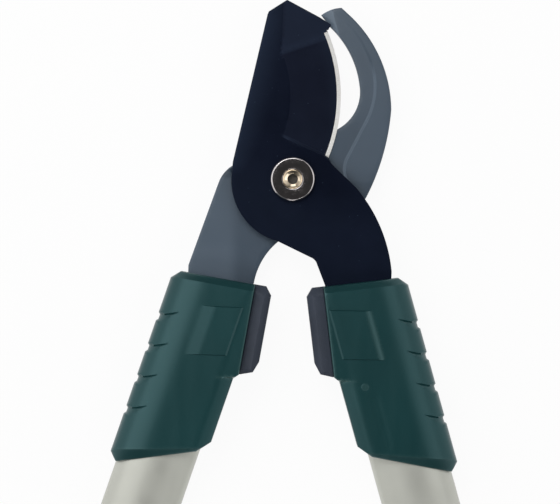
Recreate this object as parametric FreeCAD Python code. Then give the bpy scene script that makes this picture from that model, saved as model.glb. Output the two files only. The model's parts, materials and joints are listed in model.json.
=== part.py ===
import FreeCAD, Part
import math
import os

# Bypass loppers, lying flat: the cutting blade is on top, the hooked jaw is under it, and both
# handles run towards -Y. All sizes are in millimetres and all angles in degrees.
#
# While the pieces are being made, the pivot axis is the Z axis and the blade's back face is at
# z = 0. At the end everything is moved so that the origin is at the bottom centre of the whole.
#
# Each handle is built once, in its own frame: X is the distance outwards from the pivot, the
# handle runs along -Y, and z = 0 is the middle of the tube. "Along" means the distance from the
# pivot down that handle. The right-hand handle belongs to the blade, the left-hand one to the hook.

# ---- handles and their angles ----
HANDLE_HALF_ANGLE = 17.3        # each handle to the centre line, with the jaws part open
CLOSING_ANGLE = 17.0            # turn of the blade side until the bumpers meet
BUMPER_GAP = 0.3                # left between the two bumper faces at the closed stop
HANDLE_OFFSET = 18.5            # handle axis outwards from the pivot
FIT_GAP = 0.1                   # between pieces that sit one in another
PRESS_GAP = 0.02                # between a pin or barrel and the hole it is held in

# ---- jaws ----
BLADE_THICKNESS = 4.0
HOOK_THICKNESS = 6.0
JAW_GAP = 0.4                   # between the blade's back and the hook's bearing face
HOOK_STEP = 1.0                 # the hook's outer face and tang lie this much lower
HOOK_STEP_RUNS_OUT = 87.0       # the step fades to nothing at this height
HOOK_OUTER_CENTRE = (-16.0, 33.9)
HOOK_OUTER_RADIUS = 64.4
BEARING_LAND_RADIUS = 25.8      # round bearing face about the pivot

# ---- hollow grind and edge of the blade, round one common centre ----
GRIND_CENTRE = (-58.5, 40.0)
GRIND_RADIUS = 56.1             # where the hollow grind starts
BEVEL_RADIUS = 79.3             # where the sharpened bevel starts
EDGE_RADIUS = 81.3              # the cutting edge
BEVEL_START_HEIGHT = 1.5
GRIND_SAG = 0.25                # how much the grind is hollow
EDGE_LAND = 0.2                 # thickness left at the cutting edge
TIP_FACET_X = -7.5              # the flat facet at the tip starts here
TIP_FACET_SLOPE = 6.5

# ---- pivot ----
BARREL_RADIUS = 6.0
BARREL_RUNNING_GAP = 0.05       # radial, between the blade's bore and the barrel
BARREL_HEAD_RADIUS = 10.0
BARREL_HEAD_THICKNESS = 3.2
BARREL_HEAD_CHAMFER = 0.8
DRIVER_SLOT_WIDTH = 2.0
DRIVER_SLOT_DEPTH = 1.0
DISC_RADIUS = 11.0
DISC_THICKNESS = 3.0
DISC_CHAMFER = 1.1
DISC_GAP = 0.3                  # between the disc and the blade's front
SCREW_RADIUS = 3.0
SCREW_LENGTH = 11.0             # under the head
SCREW_HEAD_RADIUS = 5.0
SCREW_HEAD_HEIGHT = 3.0
SCREW_HEAD_SINK = 1.8           # depth of the head's seat in the disc
SCREW_HEAD_CHAMFER = 0.6
HEX_SOCKET_ACROSS = 5.0
HEX_SOCKET_DEPTH = 2.3
BEARING_WASHER_RADIUS = 13.0
BEARING_WASHER_THICKNESS = 0.9
BEARING_WASHER_RISE = 0.1       # how far it stands above the hook's bearing face
REAR_WASHER_RADIUS = 10.5
REAR_WASHER_THICKNESS = 1.0
SPRING_WASHER_RADIUS = 9.5
SPRING_WASHER_THICKNESS = 0.6
SPRING_WASHER_DISH = 0.6

# ---- collars: "start" is at the jaws' end, measured along the bumper face ----
COLLAR_START = 55.0
COLLAR_OUTER_LENGTH = 106.7     # from the start to the lower end, on the outer side
COLLAR_INNER_LENGTH = 88.5      # the same on the inner side: the lower end is oblique
COLLAR_SIDE_WALL = 4.0          # beside the tube
COLLAR_FACE_WALL = 4.0          # in front of the tube and behind it
COLLAR_CORNER = 4.0
COLLAR_ROLL_WIDTH = 17.0        # width and drop of the rounded outer side
COLLAR_ROLL_DROP = 8.0
COLLAR_INNER_ROLL = 5.0
COLLAR_TOP_BAND = 3.4           # width of the bevel at the start
COLLAR_END_BAND = 6.5           # width of the bevel at the lower end, at its outer side
COLLAR_END_BAND_INNER = 1.0
SHINGLE_FIRST = 29.5            # first notch on the outer side, from the start
SHINGLE_PITCH = 16.4
SHINGLE_COUNT = 4
SHINGLE_OPENING = 4.3           # width of a notch at the outer side
SHINGLE_LENGTH = 11.6           # how far a notch reaches inwards
SHINGLE_RISE = 3.8              # how far its inner tip lies towards the jaws
SHINGLE_DEPTH = 1.1
BOSS_WIDTH = 9.0
BOSS_MARGIN = 2.0               # how far the boss stands beyond the bumper, front and back
BOSS_STEP = 2.8                 # slope below the boss, down to the collar's inner side
PAD_START = 12.6                # blank pad on the front: inner corner, from the start
PAD_LENGTH = 24.0
PAD_SLANT = 5.5                 # how much lower its outer side lies
PAD_WIDTH = 18.4
PAD_INSET = 5.7                 # from the collar's inner side
PAD_RISE = 1.2
GATE_MARK_RADIUS = 1.8
GATE_MARK_RISE = 0.3
GATE_MARK_INSET = 11.9          # from the collar's inner side
GATE_MARK_ALONG = 55.0          # from the start

# ---- handle tubes ----
TUBE_WIDTH = 38.0
TUBE_HEIGHT = 22.0
TUBE_WALL = 1.5
TUBE_LENGTH = 526.0
MOUTH_LENGTH = 17.0             # of the collar's mouth, before the tube starts

# ---- tangs, their inserts and pins, inside the collars and tubes ----
TANG_SHOULDER_WIDTH = 32.8
TANG_SHOULDER_SHIFT = 0.7       # the shoulders lie this much inwards of the handle axis
TANG_LENGTH = 62.0              # inside the tube
TANG_CORNER = 6.0
TANG_NECK = 4.0                 # length of the slope from the shoulders to the tail
INSERT_LENGTH = 74.0
INSERT_WALL = 1.4               # least plastic beside the tang
PIN_RADIUS = 2.5
PIN_FIRST = 18.0                # from the tube's start
PIN_PITCH = 28.0
PIN_COUNT = 2

# ---- bumpers ----
BUMPER_LENGTH = 45.3
BUMPER_DEPTH = 8.9              # from the seat on the collar to the stop's plane
BUMPER_START_CUT = (4.2, 3.2)   # corner cut at the start: along and in from the face
BUMPER_END_CUT = (7.8, 2.2)     # first slope at the end
BUMPER_END_SHOULDER = (2.2, 8.2)
BUMPER_HEIGHT = 22.0
BUMPER_CHAMFER = 3.0
PEG_RADIUS = 2.0
PEG_LENGTH = 3.2
PEG_INSET = 8.0                 # from each end of the bumper
PEG_MARGIN = 0.5                # rubber outside each peg, front and back

# ---- grips and end caps ----
GRIP_LENGTH = 186.0
GRIP_OVERHANG = 2.0             # past the tube's end
GRIP_CORE_WALL = 1.6
GRIP_RING_LENGTH = 9.0
GRIP_RING_CHAMFER = 1.2
GRIP_SLEEVE_WALL = 2.3          # on the narrow sides
GRIP_SLEEVE_RELIEF = 0.2        # the sleeve lies this much inside the ring, front and back
GRIP_SWELL = 2.2                # how much the sleeve swells on each side
CAP_LENGTH = 22.0
CAP_EDGE_RADIUS = 5.0
CAP_CHAMFER = 0.8
CAP_PLUG_LENGTH = 26.0
CAP_PLUG_WALL = 1.8
HANG_HOLE_RADIUS = 4.0
HANG_HOLE_MARGIN = 2.0          # between the hole and the cap's rounded end

# ---- values worked out from those above ----
HOOK_FACE_Z = -JAW_GAP
HOOK_BACK_Z = HOOK_FACE_Z - HOOK_THICKNESS
TANG_REACH = (BLADE_THICKNESS - HOOK_BACK_Z) / 2
TUBE_Z = (BLADE_THICKNESS + HOOK_BACK_Z) / 2
TUBE_HALF_WIDTH = TUBE_WIDTH / 2
TUBE_HALF_HEIGHT = TUBE_HEIGHT / 2
TUBE_START = COLLAR_START + MOUTH_LENGTH
TUBE_END = TUBE_START + TUBE_LENGTH
REST_HALF_HEIGHT = TUBE_HALF_HEIGHT + COLLAR_FACE_WALL
COLLAR_INNER = HANDLE_OFFSET - TUBE_HALF_WIDTH - COLLAR_SIDE_WALL
COLLAR_OUTER = HANDLE_OFFSET + TUBE_HALF_WIDTH + COLLAR_SIDE_WALL
COLLAR_END_OUTER = COLLAR_START + COLLAR_OUTER_LENGTH
COLLAR_END_INNER = COLLAR_START + COLLAR_INNER_LENGTH
BUMPER_FACE_ANGLE = HANDLE_HALF_ANGLE - CLOSING_ANGLE / 2
BUMPER_END = COLLAR_START + BUMPER_LENGTH
TANG_OUTER = HANDLE_OFFSET - TANG_SHOULDER_SHIFT + TANG_SHOULDER_WIDTH / 2
TANG_INNER = HANDLE_OFFSET - TANG_SHOULDER_SHIFT - TANG_SHOULDER_WIDTH / 2
TANG_END = TUBE_START + TANG_LENGTH
GRIP_END = TUBE_END + GRIP_OVERHANG
GRIP_START = GRIP_END - GRIP_LENGTH
BARREL_HEAD_TOP = HOOK_BACK_Z - REAR_WASHER_THICKNESS - SPRING_WASHER_THICKNESS - SPRING_WASHER_DISH
BARREL_TOP = BLADE_THICKNESS + DISC_GAP
BEARING_WASHER_TOP = HOOK_FACE_Z + BEARING_WASHER_RISE
BEARING_WASHER_LOW = BEARING_WASHER_TOP - BEARING_WASHER_THICKNESS
PAST = 1.0                      # how far a cut runs past the surface it opens


def point(x, y, z=0.0):
    return FreeCAD.Vector(x, y, z)


def trace(start, *steps):
    """Closed flat face: each step is a corner, or a pair (point on the arc, end of the arc)."""
    edges = []
    here = point(*start)
    for step in steps + (start,):
        if isinstance(step[0], tuple):
            end = point(*step[1])
            edges.append(Part.Arc(here, point(*step[0]), end).toShape())
        else:
            end = point(*step)
            edges.append(Part.makeLine(here, end))
        here = end
    return Part.Face(Part.Wire(edges))


def slab(face, low, high):
    """Straight plate over a face in the XY plane, from one height to another."""
    moved = face.copy()
    moved.translate(point(0, 0, low))
    return moved.extrude(point(0, 0, high - low))


def rod(radius, low, high, x=0.0, y=0.0):
    return Part.makeCylinder(radius, high - low, point(x, y, low))


def ring(outer, inner, low, high):
    return rod(outer, low, high).cut(rod(inner, low - PAST, high + PAST))


def lathe(*places):
    """Solid turned about the Z axis from a closed outline of (radius, height) corners."""
    corners = [point(radius, 0, height) for radius, height in places + places[:1]]
    return Part.Face(Part.makePolygon(corners)).revolve(point(0, 0), point(0, 0, 1), 360)


def on_circle(centre, radius, y):
    """The point of a circle at a height y, on its +X side."""
    return (centre[0] + math.sqrt(radius ** 2 - (y - centre[1]) ** 2), y)


def handle_to_jaws(across, along):
    """A place in a handle's frame, as (x, y) about the pivot on the blade's side."""
    turn = math.radians(HANDLE_HALF_ANGLE)
    x = across * math.cos(turn) + along * math.sin(turn)
    y = across * math.sin(turn) - along * math.cos(turn)
    return (x, y)


def unmirrored(place):
    return place


def mirrored(place):
    return (-place[0], place[1])


def face_place(along_face, depth):
    """A place measured along the bumper face and in from it, as (x, y) in the handle's frame."""
    turn = math.radians(BUMPER_FACE_ANGLE)
    across = depth * math.cos(turn) - along_face * math.sin(turn)
    along = along_face * math.cos(turn) + depth * math.sin(turn)
    return (across, -along)


def roll(start, width, drop):
    """Arc step from a level start that rolls off by a width and a drop: (point on it, end)."""
    radius = (width ** 2 + drop ** 2) / (2 * abs(drop))
    half_turn = math.atan2(abs(width), radius - abs(drop)) / 2
    step_x = math.copysign(radius * math.sin(half_turn), width)
    step_y = math.copysign(radius * (1 - math.cos(half_turn)), drop)
    return ((start[0] + step_x, start[1] + step_y), (start[0] + width, start[1] + drop))


def oval_reach(half_width, half_height, z):
    """Half the width of an oval at a height z."""
    return half_width * math.sqrt(1 - (z / half_height) ** 2)


def oval_wire(half_width, half_height, along):
    """Oval section across a handle."""
    edge = Part.Ellipse(point(0, 0), half_width, half_height).toShape()
    edge.rotate(point(0, 0), point(1, 0), 90)
    edge.translate(point(HANDLE_OFFSET, -along))
    return Part.Wire([edge])


def oval_bar(half_width, half_height, start, end):
    return Part.Face(oval_wire(half_width, half_height, start)).extrude(point(0, start - end))


def across_handle(section, start, end):
    """Bar along a handle from a section drawn as (outwards, height)."""
    turned = section.copy()
    turned.rotate(point(0, 0), point(1, 0), 90)
    turned.translate(point(0, -start))
    return turned.extrude(point(0, start - end))


def on_right(shape):
    placed = shape.copy()
    placed.rotate(point(0, 0), point(0, 0, 1), HANDLE_HALF_ANGLE)
    placed.translate(point(0, 0, TUBE_Z))
    return placed


def on_left(shape):
    return on_right(shape).mirror(point(0, 0), point(1, 0))


def in_frame(shape):
    return shape


def pin_stations():
    return [TUBE_START + PIN_FIRST + number * PIN_PITCH for number in range(PIN_COUNT)]


def drilled_for_pins(shape, to_side):
    for station in pin_stations():
        hole = rod(PIN_RADIUS + PRESS_GAP, -TUBE_HEIGHT, TUBE_HEIGHT, HANDLE_OFFSET, -station)
        shape = shape.cut(to_side(hole))
    return shape


# ---- jaws ----

def tang_half_width():
    """Half the width of a tang's tail, so that it fits inside the oval tube."""
    inner_width = TUBE_HALF_WIDTH - TUBE_WALL - FIT_GAP
    inner_height = TUBE_HALF_HEIGHT - TUBE_WALL - FIT_GAP
    return oval_reach(inner_width, inner_height, TANG_REACH + FIT_GAP) - INSERT_WALL - FIT_GAP


def tang_tail(side):
    """Steps of a jaw's outline down its tang: outer shoulder, round the tail, inner shoulder."""
    half = tang_half_width()
    outer = HANDLE_OFFSET + half
    inner = HANDLE_OFFSET - half
    shoulder = TUBE_START - 1.5 * TANG_NECK
    neck = shoulder + TANG_NECK
    corner = TANG_CORNER * (1 - math.sqrt(0.5))

    def place(across, along):
        return side(handle_to_jaws(across, along))

    return (
        place(TANG_OUTER + 1.1, COLLAR_START + 2.6),
        place(TANG_OUTER, COLLAR_START + 6.0),
        place(TANG_OUTER, shoulder),
        place(outer, neck),
        place(outer, TANG_END - TANG_CORNER),
        (place(outer - corner, TANG_END - corner), place(outer - TANG_CORNER, TANG_END)),
        place(inner + TANG_CORNER, TANG_END),
        (place(inner + corner, TANG_END - corner), place(inner, TANG_END - TANG_CORNER)),
        place(inner, neck),
        place(TANG_INNER, shoulder),
        place(TANG_INNER, COLLAR_START),
    )


def blade_face():
    edge_top = on_circle(GRIND_CENTRE, EDGE_RADIUS, 74.0)
    edge_middle = on_circle(GRIND_CENTRE, EDGE_RADIUS, 42.0)
    edge_bottom = on_circle(GRIND_CENTRE, EDGE_RADIUS, 11.3)
    return trace(
        (-30.1, 7.8),
        (-15.1, 81.8),
        (-14.5, 83.3),
        (-5.5, 89.4),
        (11.4, 81.1),
        (16.6, 78.0),
        (16.8, 77.3),
        (edge_top[0] + 0.1, 75.2),
        edge_top,
        (edge_middle, edge_bottom),
        (19.1, 8.3),
        (31.6, -3.0),
        ((44.0, -21.3), tang_tail(unmirrored)[0]),
        *tang_tail(unmirrored)[1:],
        (13.6, -42.3),
        ((12.3, -40.0), (10.0, -38.6)),
        (-6.4, -31.2),
        ((-28.0, -13.0), (-30.4, 2.8)),
    )


def grind_sweep():
    """Ring above the hollow grind and the bevel, turned about the grind's centre."""
    start = point(GRIND_RADIUS, 0, BLADE_THICKNESS)
    middle_radius = (GRIND_RADIUS + BEVEL_RADIUS) / 2
    middle_height = (BLADE_THICKNESS + BEVEL_START_HEIGHT) / 2 - GRIND_SAG
    bevel = point(BEVEL_RADIUS, 0, BEVEL_START_HEIGHT)
    beyond = EDGE_RADIUS + PAST
    corners = (
        bevel,
        point(EDGE_RADIUS, 0, EDGE_LAND),
        point(beyond, 0, EDGE_LAND),
        point(beyond, 0, BLADE_THICKNESS + PAST),
        point(GRIND_RADIUS, 0, BLADE_THICKNESS + PAST),
        start,
    )
    profile = [Part.Arc(start, point(middle_radius, 0, middle_height), bevel).toShape()]
    profile.append(Part.makePolygon(corners))
    sweep = Part.Face(Part.Wire(profile)).revolve(point(0, 0), point(0, 0, 1), 100)
    sweep.rotate(point(0, 0), point(0, 0, 1), -45)
    sweep.translate(point(*GRIND_CENTRE))
    return sweep


def grind_cutter():
    """What the grind takes off the blade: the ring, kept above the tip's facet and the shoulder."""
    above_facet = Part.makeBox(60, 140, 20, point(0, -20, 0))
    above_facet.rotate(point(0, 0), point(0, 1, 0), TIP_FACET_SLOPE)
    above_facet.translate(point(TIP_FACET_X, 0, BLADE_THICKNESS))
    past_shoulder = trace(
        (-12.0, 23.3), (16.1, 11.4), (19.1, 8.2), (40.0, 8.2), (40.0, 110.0), (-12.0, 110.0)
    )
    return grind_sweep().common(above_facet).common(slab(past_shoulder, -PAST, BLADE_THICKNESS + 3))


def cutting_blade():
    plate = slab(blade_face(), 0, BLADE_THICKNESS)
    bore = rod(BARREL_RADIUS + BARREL_RUNNING_GAP, -PAST, BLADE_THICKNESS + PAST)
    return drilled_for_pins(plate.cut(grind_cutter()).cut(bore), on_right)


def hook_face():
    return trace(
        (16.5, 76.9),
        ((27.9, 61.8), (32.4, 45.8)),
        ((29.2, 33.1), (22.3, 26.2)),
        (13.5, 20.7),
        ((-8.0, 17.4), (-30.3, 6.0)),
        ((-35.0, 1.4), (-37.1, -3.0)),
        *tang_tail(mirrored),
        ((-8.6, -33.6), (14.0, -22.8)),
        ((27.8, -18.2), (37.4, -7.3)),
        ((45.0, 14.0), (48.3, 36.5)),
        (on_circle(HOOK_OUTER_CENTRE, HOOK_OUTER_RADIUS, 62.0), (25.4, 83.5)),
        (21.8, 86.6),
        ((16.4, 85.4), (11.8, 82.8)),
    )


def hook_step_cutter():
    """What is taken off the hook's face outside its ridge, less and less towards the tip."""
    low = HOOK_FACE_Z - HOOK_STEP
    over = BLADE_THICKNESS + PAST
    side = Part.Face(Part.makePolygon([
        point(-100, -200, low),
        point(-100, 0, low),
        point(-100, HOOK_STEP_RUNS_OUT, HOOK_FACE_Z),
        point(-100, HOOK_STEP_RUNS_OUT, over),
        point(-100, -200, over),
        point(-100, -200, low),
    ]))
    jaw_land = trace(
        (11.0, 83.2),
        ((38.7, 52.0), (33.1, 23.1)),
        ((28.3, 15.6), (25.1, 7.3)),
        (0.0, 0.0),
        (0.0, 83.2),
    )
    low = HOOK_BACK_Z
    lands = slab(jaw_land, low, over).fuse(rod(BEARING_LAND_RADIUS, low, over))
    return side.extrude(point(200, 0)).cut(lands)


def hook_jaw():
    plate = slab(hook_face(), HOOK_BACK_Z, HOOK_FACE_Z)
    bore = rod(BARREL_RADIUS + PRESS_GAP, HOOK_BACK_Z - PAST, HOOK_FACE_Z + PAST)
    seat = rod(BEARING_WASHER_RADIUS + FIT_GAP, BEARING_WASHER_LOW, HOOK_FACE_Z + PAST)
    return drilled_for_pins(plate.cut(hook_step_cutter()).cut(bore).cut(seat), on_left)


# ---- pivot, all of it on the hook's side ----

def bearing_washer():
    return ring(BEARING_WASHER_RADIUS, BARREL_RADIUS + PRESS_GAP, BEARING_WASHER_LOW, BEARING_WASHER_TOP)


def rear_washer():
    low = HOOK_BACK_Z - REAR_WASHER_THICKNESS
    return ring(REAR_WASHER_RADIUS, BARREL_RADIUS + PRESS_GAP, low, HOOK_BACK_Z)


def spring_washer():
    """Dished ring between the barrel's head and the rear washer."""
    inner = BARREL_RADIUS + FIT_GAP
    high = HOOK_BACK_Z - REAR_WASHER_THICKNESS
    return lathe(
        (inner, high),
        (inner, high - SPRING_WASHER_THICKNESS),
        (SPRING_WASHER_RADIUS, high - SPRING_WASHER_THICKNESS - SPRING_WASHER_DISH),
        (SPRING_WASHER_RADIUS, high - SPRING_WASHER_DISH),
    )


def pivot_barrel():
    """Headed barrel from the back, bored for the screw: it is the hinge pin."""
    low = BARREL_HEAD_TOP - BARREL_HEAD_THICKNESS
    floor = low + BARREL_HEAD_THICKNESS / 2
    bore = SCREW_RADIUS + PRESS_GAP
    barrel = lathe(
        (0, low),
        (BARREL_HEAD_RADIUS - BARREL_HEAD_CHAMFER, low),
        (BARREL_HEAD_RADIUS, low + BARREL_HEAD_CHAMFER),
        (BARREL_HEAD_RADIUS, BARREL_HEAD_TOP),
        (BARREL_RADIUS, BARREL_HEAD_TOP),
        (BARREL_RADIUS, BARREL_TOP),
        (bore, BARREL_TOP),
        (bore, floor),
        (0, floor),
    )
    corner = point(-BARREL_HEAD_RADIUS - PAST, -DRIVER_SLOT_WIDTH / 2, low - PAST)
    slot = Part.makeBox(2 * (BARREL_HEAD_RADIUS + PAST), DRIVER_SLOT_WIDTH, DRIVER_SLOT_DEPTH + PAST, corner)
    return barrel.cut(slot)


def front_disc():
    """Polished disc under the screw's head, with a bevelled rim."""
    high = BARREL_TOP + DISC_THICKNESS
    seat = high - SCREW_HEAD_SINK
    return lathe(
        (SCREW_RADIUS + FIT_GAP, BARREL_TOP),
        (DISC_RADIUS, BARREL_TOP),
        (DISC_RADIUS, high - DISC_CHAMFER),
        (DISC_RADIUS - DISC_CHAMFER, high),
        (SCREW_HEAD_RADIUS + FIT_GAP, high),
        (SCREW_HEAD_RADIUS + FIT_GAP, seat),
        (SCREW_RADIUS + FIT_GAP, seat),
    )


def pivot_screw():
    """Screw with a round head and a hexagon socket."""
    seat = BARREL_TOP + DISC_THICKNESS - SCREW_HEAD_SINK
    top = seat + SCREW_HEAD_HEIGHT
    screw = lathe(
        (0, seat - SCREW_LENGTH),
        (SCREW_RADIUS, seat - SCREW_LENGTH),
        (SCREW_RADIUS, seat),
        (SCREW_HEAD_RADIUS, seat),
        (SCREW_HEAD_RADIUS, top - SCREW_HEAD_CHAMFER),
        (SCREW_HEAD_RADIUS - SCREW_HEAD_CHAMFER, top),
        (0, top),
    )
    corner_radius = HEX_SOCKET_ACROSS / math.sqrt(3)
    corners = []
    for number in range(7):
        turn = math.radians(60 * number)
        corners.append(point(corner_radius * math.cos(turn), corner_radius * math.sin(turn)))
    return screw.cut(slab(Part.Face(Part.makePolygon(corners)), top - HEX_SOCKET_DEPTH, top + PAST))


# ---- handles: every piece below is made in the handle's own frame ----

def handle_tube():
    outside = oval_bar(TUBE_HALF_WIDTH, TUBE_HALF_HEIGHT, TUBE_START, TUBE_END)
    inner_width = TUBE_HALF_WIDTH - TUBE_WALL
    inner_height = TUBE_HALF_HEIGHT - TUBE_WALL
    inside = oval_bar(inner_width, inner_height, TUBE_START - PAST, TUBE_END + PAST)
    return drilled_for_pins(outside.cut(inside), in_frame)


def tang_insert(tang_low, tang_high):
    """Moulded plug that fills the tube round the tang."""
    half_width = TUBE_HALF_WIDTH - TUBE_WALL - FIT_GAP
    half_height = TUBE_HALF_HEIGHT - TUBE_WALL - FIT_GAP
    plug = oval_bar(half_width, half_height, TUBE_START, TUBE_START + INSERT_LENGTH)
    reach = tang_half_width() + FIT_GAP
    length = TANG_LENGTH + FIT_GAP + PAST
    height = tang_high - tang_low + 2 * FIT_GAP
    corner = point(HANDLE_OFFSET - reach, -TANG_END - FIT_GAP, tang_low - FIT_GAP)
    return drilled_for_pins(plug.cut(Part.makeBox(2 * reach, length, height, corner)), in_frame)


def handle_pins():
    """Pins through tube, insert and tang."""
    reach = TUBE_HALF_HEIGHT - FIT_GAP
    pins = [rod(PIN_RADIUS, -reach, reach, HANDLE_OFFSET, -station) for station in pin_stations()]
    return Part.makeCompound(pins)


def collar_outer_depth():
    """Depth from the stop's plane to the collar's outer side, along its start."""
    turn = math.radians(BUMPER_FACE_ANGLE)
    return (COLLAR_OUTER + COLLAR_START * math.sin(turn)) / math.cos(turn)


def collar_face():
    """Outline of the collar seen from the front."""
    corner = COLLAR_CORNER
    depth = collar_outer_depth()
    boss_end = face_place(BUMPER_END, BUMPER_DEPTH)
    return trace(
        face_place(COLLAR_START, BUMPER_DEPTH),
        face_place(COLLAR_START, depth - corner),
        (COLLAR_OUTER, face_place(COLLAR_START, depth)[1] - corner),
        (COLLAR_OUTER, corner - COLLAR_END_OUTER),
        (COLLAR_OUTER - corner, -COLLAR_END_OUTER),
        (COLLAR_INNER + 1.4 * corner, -COLLAR_END_INNER),
        (COLLAR_INNER, 1.7 * corner - COLLAR_END_INNER),
        (COLLAR_INNER, boss_end[1] - BOSS_STEP),
        boss_end,
    )


def collar_section():
    """The collar's cross-section as (outwards, height), well rounded on its outer side."""
    top = REST_HALF_HEIGHT
    outer_start = (COLLAR_OUTER - COLLAR_ROLL_WIDTH, top)
    outer_roll = roll(outer_start, COLLAR_ROLL_WIDTH, -COLLAR_ROLL_DROP)
    inner_start = (COLLAR_INNER + COLLAR_INNER_ROLL, top)
    inner_roll = roll(inner_start, -COLLAR_INNER_ROLL, -COLLAR_INNER_ROLL)
    boss_side = COLLAR_INNER - COLLAR_INNER_ROLL

    def below(place):
        return (place[0], -place[1])

    return trace(
        outer_start,
        outer_roll,
        below(outer_roll[1]),
        (below(outer_roll[0]), below(outer_start)),
        below(inner_start),
        (below(inner_roll[0]), below(inner_roll[1])),
        (boss_side, -inner_roll[1][1]),
        (boss_side, inner_roll[1][1]),
        inner_roll[1],
        (inner_roll[0], inner_start),
    )


def collar_boss():
    """Squarer block on the inner side that the bumper sits on."""
    height = BUMPER_HEIGHT / 2 + BOSS_MARGIN
    outline = trace(
        face_place(COLLAR_START, BUMPER_DEPTH),
        face_place(BUMPER_END, BUMPER_DEPTH),
        face_place(BUMPER_END, BUMPER_DEPTH + BOSS_WIDTH),
        face_place(COLLAR_START, BUMPER_DEPTH + BOSS_WIDTH),
    )
    return slab(outline, -height, height)


def end_bevels():
    """Wedges off the front and back edges at the collar's start and at its oblique end."""
    top = REST_HALF_HEIGHT
    depth = collar_outer_depth()
    start_inner = face_place(COLLAR_START, BUMPER_DEPTH)
    start_outer = face_place(COLLAR_START, depth)
    end_inner = (COLLAR_INNER, 0.7 * COLLAR_CORNER - COLLAR_END_INNER)
    end_outer = (COLLAR_OUTER, -COLLAR_END_OUTER)
    wedges = []
    for inner, outer, down, width_inner, width_outer in (
        (start_inner, start_outer, -1, COLLAR_TOP_BAND, COLLAR_TOP_BAND),
        (end_inner, end_outer, 1, COLLAR_END_BAND_INNER, COLLAR_END_BAND),
    ):
        sections = []
        for place, width in ((inner, width_inner), (outer, width_outer)):
            drop = 0.8 * width
            corners = (
                point(place[0], place[1] + down * width, top),
                point(place[0], place[1], top - drop),
                point(place[0], place[1] - 3 * down, top - drop),
                point(place[0], place[1] - 3 * down, top + PAST),
                point(place[0], place[1] + down * width, top + PAST),
            )
            sections.append(Part.makePolygon(corners + corners[:1]))
        wedge = Part.makeLoft(sections, True, True)
        wedges.append(wedge)
        wedges.append(wedge.mirror(point(0, 0), point(0, 0, 1)))
    return wedges


def shingle_notch(number):
    """Wedge notch on the outer side: widest and deepest outside, running out at its inner tip."""
    top = REST_HALF_HEIGHT
    upper = -COLLAR_START - SHINGLE_FIRST - number * SHINGLE_PITCH
    tip = (COLLAR_OUTER - SHINGLE_LENGTH, upper + SHINGLE_RISE)
    outside = COLLAR_OUTER + PAST
    wedge = slab(trace(tip, (outside, upper), (outside, upper - SHINGLE_OPENING)), -top - PAST, top + PAST)
    flat_end = (COLLAR_OUTER - COLLAR_ROLL_WIDTH, top)
    core = roll(flat_end, COLLAR_ROLL_WIDTH - SHINGLE_DEPTH, -COLLAR_ROLL_DROP - SHINGLE_DEPTH)
    section = trace(
        flat_end,
        core,
        (core[1][0], -core[1][1]),
        ((core[0][0], -core[0][1]), (flat_end[0], -top)),
    )
    return wedge.cut(across_handle(section, COLLAR_START, COLLAR_END_OUTER))


def blank_pad():
    """Raised plain pad on the front, with a sloping outer side."""
    top = REST_HALF_HEIGHT
    inner_x = COLLAR_INNER + PAD_INSET
    outer_x = inner_x + PAD_WIDTH
    start = -COLLAR_START - PAD_START
    outline = trace(
        (inner_x, start),
        (outer_x, start - PAD_SLANT),
        (outer_x, start - PAD_SLANT - PAD_LENGTH),
        (inner_x, start - PAD_LENGTH),
    )
    pad = slab(outline, top - PAST, top + PAD_RISE)
    sides = []
    for edge in pad.Edges:
        if edge.BoundBox.ZMin > top and edge.BoundBox.XLength < 0.01:
            sides.append(edge)
    return pad.makeChamfer(0.9 * PAD_RISE, sides)


def pegs(radius, length):
    """Four pegs from the bumper's back into the collar."""
    turn = math.radians(BUMPER_FACE_ANGLE)
    inwards = point(math.cos(turn), -math.sin(turn))
    height = BUMPER_HEIGHT / 2 - PEG_MARGIN - PEG_RADIUS
    made = []
    for station in (COLLAR_START + PEG_INSET, BUMPER_END - PEG_INSET):
        x, y = face_place(station, BUMPER_DEPTH)
        for side in (-1, 1):
            made.append(Part.makeCylinder(radius, length, point(x, y, side * height), inwards))
    return made


def tang_mouth(tang_low, tang_high):
    """The slot that a tang comes out of, up to the tube."""
    width = TANG_SHOULDER_WIDTH + 2 * FIT_GAP
    height = tang_high - tang_low + 2 * FIT_GAP
    corner = point(TANG_INNER - FIT_GAP, -TUBE_START - PAST, tang_low - FIT_GAP)
    return Part.makeBox(width, TUBE_START, height, corner)


def gate_mark():
    """Round mark left by moulding."""
    top = REST_HALF_HEIGHT
    x = COLLAR_INNER + GATE_MARK_INSET
    return rod(GATE_MARK_RADIUS, top - PAST, top + GATE_MARK_RISE, x, -COLLAR_START - GATE_MARK_ALONG)


def collar(tang_low, tang_high):
    """Moulded collar that joins the jaw's tang and the tube."""
    shape = slab(collar_face(), -REST_HALF_HEIGHT, REST_HALF_HEIGHT)
    shape = shape.common(across_handle(collar_section(), COLLAR_START / 2, 2 * COLLAR_END_OUTER))
    shape = shape.fuse(collar_boss())
    for wedge in end_bevels():
        shape = shape.cut(wedge)
    for number in range(SHINGLE_COUNT):
        shape = shape.cut(shingle_notch(number))
    shape = shape.fuse(blank_pad())
    half_width = TUBE_HALF_WIDTH + FIT_GAP
    half_height = TUBE_HALF_HEIGHT + FIT_GAP
    shape = shape.cut(oval_bar(half_width, half_height, TUBE_START - FIT_GAP, 2 * COLLAR_END_OUTER))
    shape = shape.cut(tang_mouth(tang_low, tang_high))
    for hole in pegs(PEG_RADIUS + FIT_GAP, PEG_LENGTH + FIT_GAP):
        shape = shape.cut(hole)
    return shape.removeSplitter()


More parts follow.
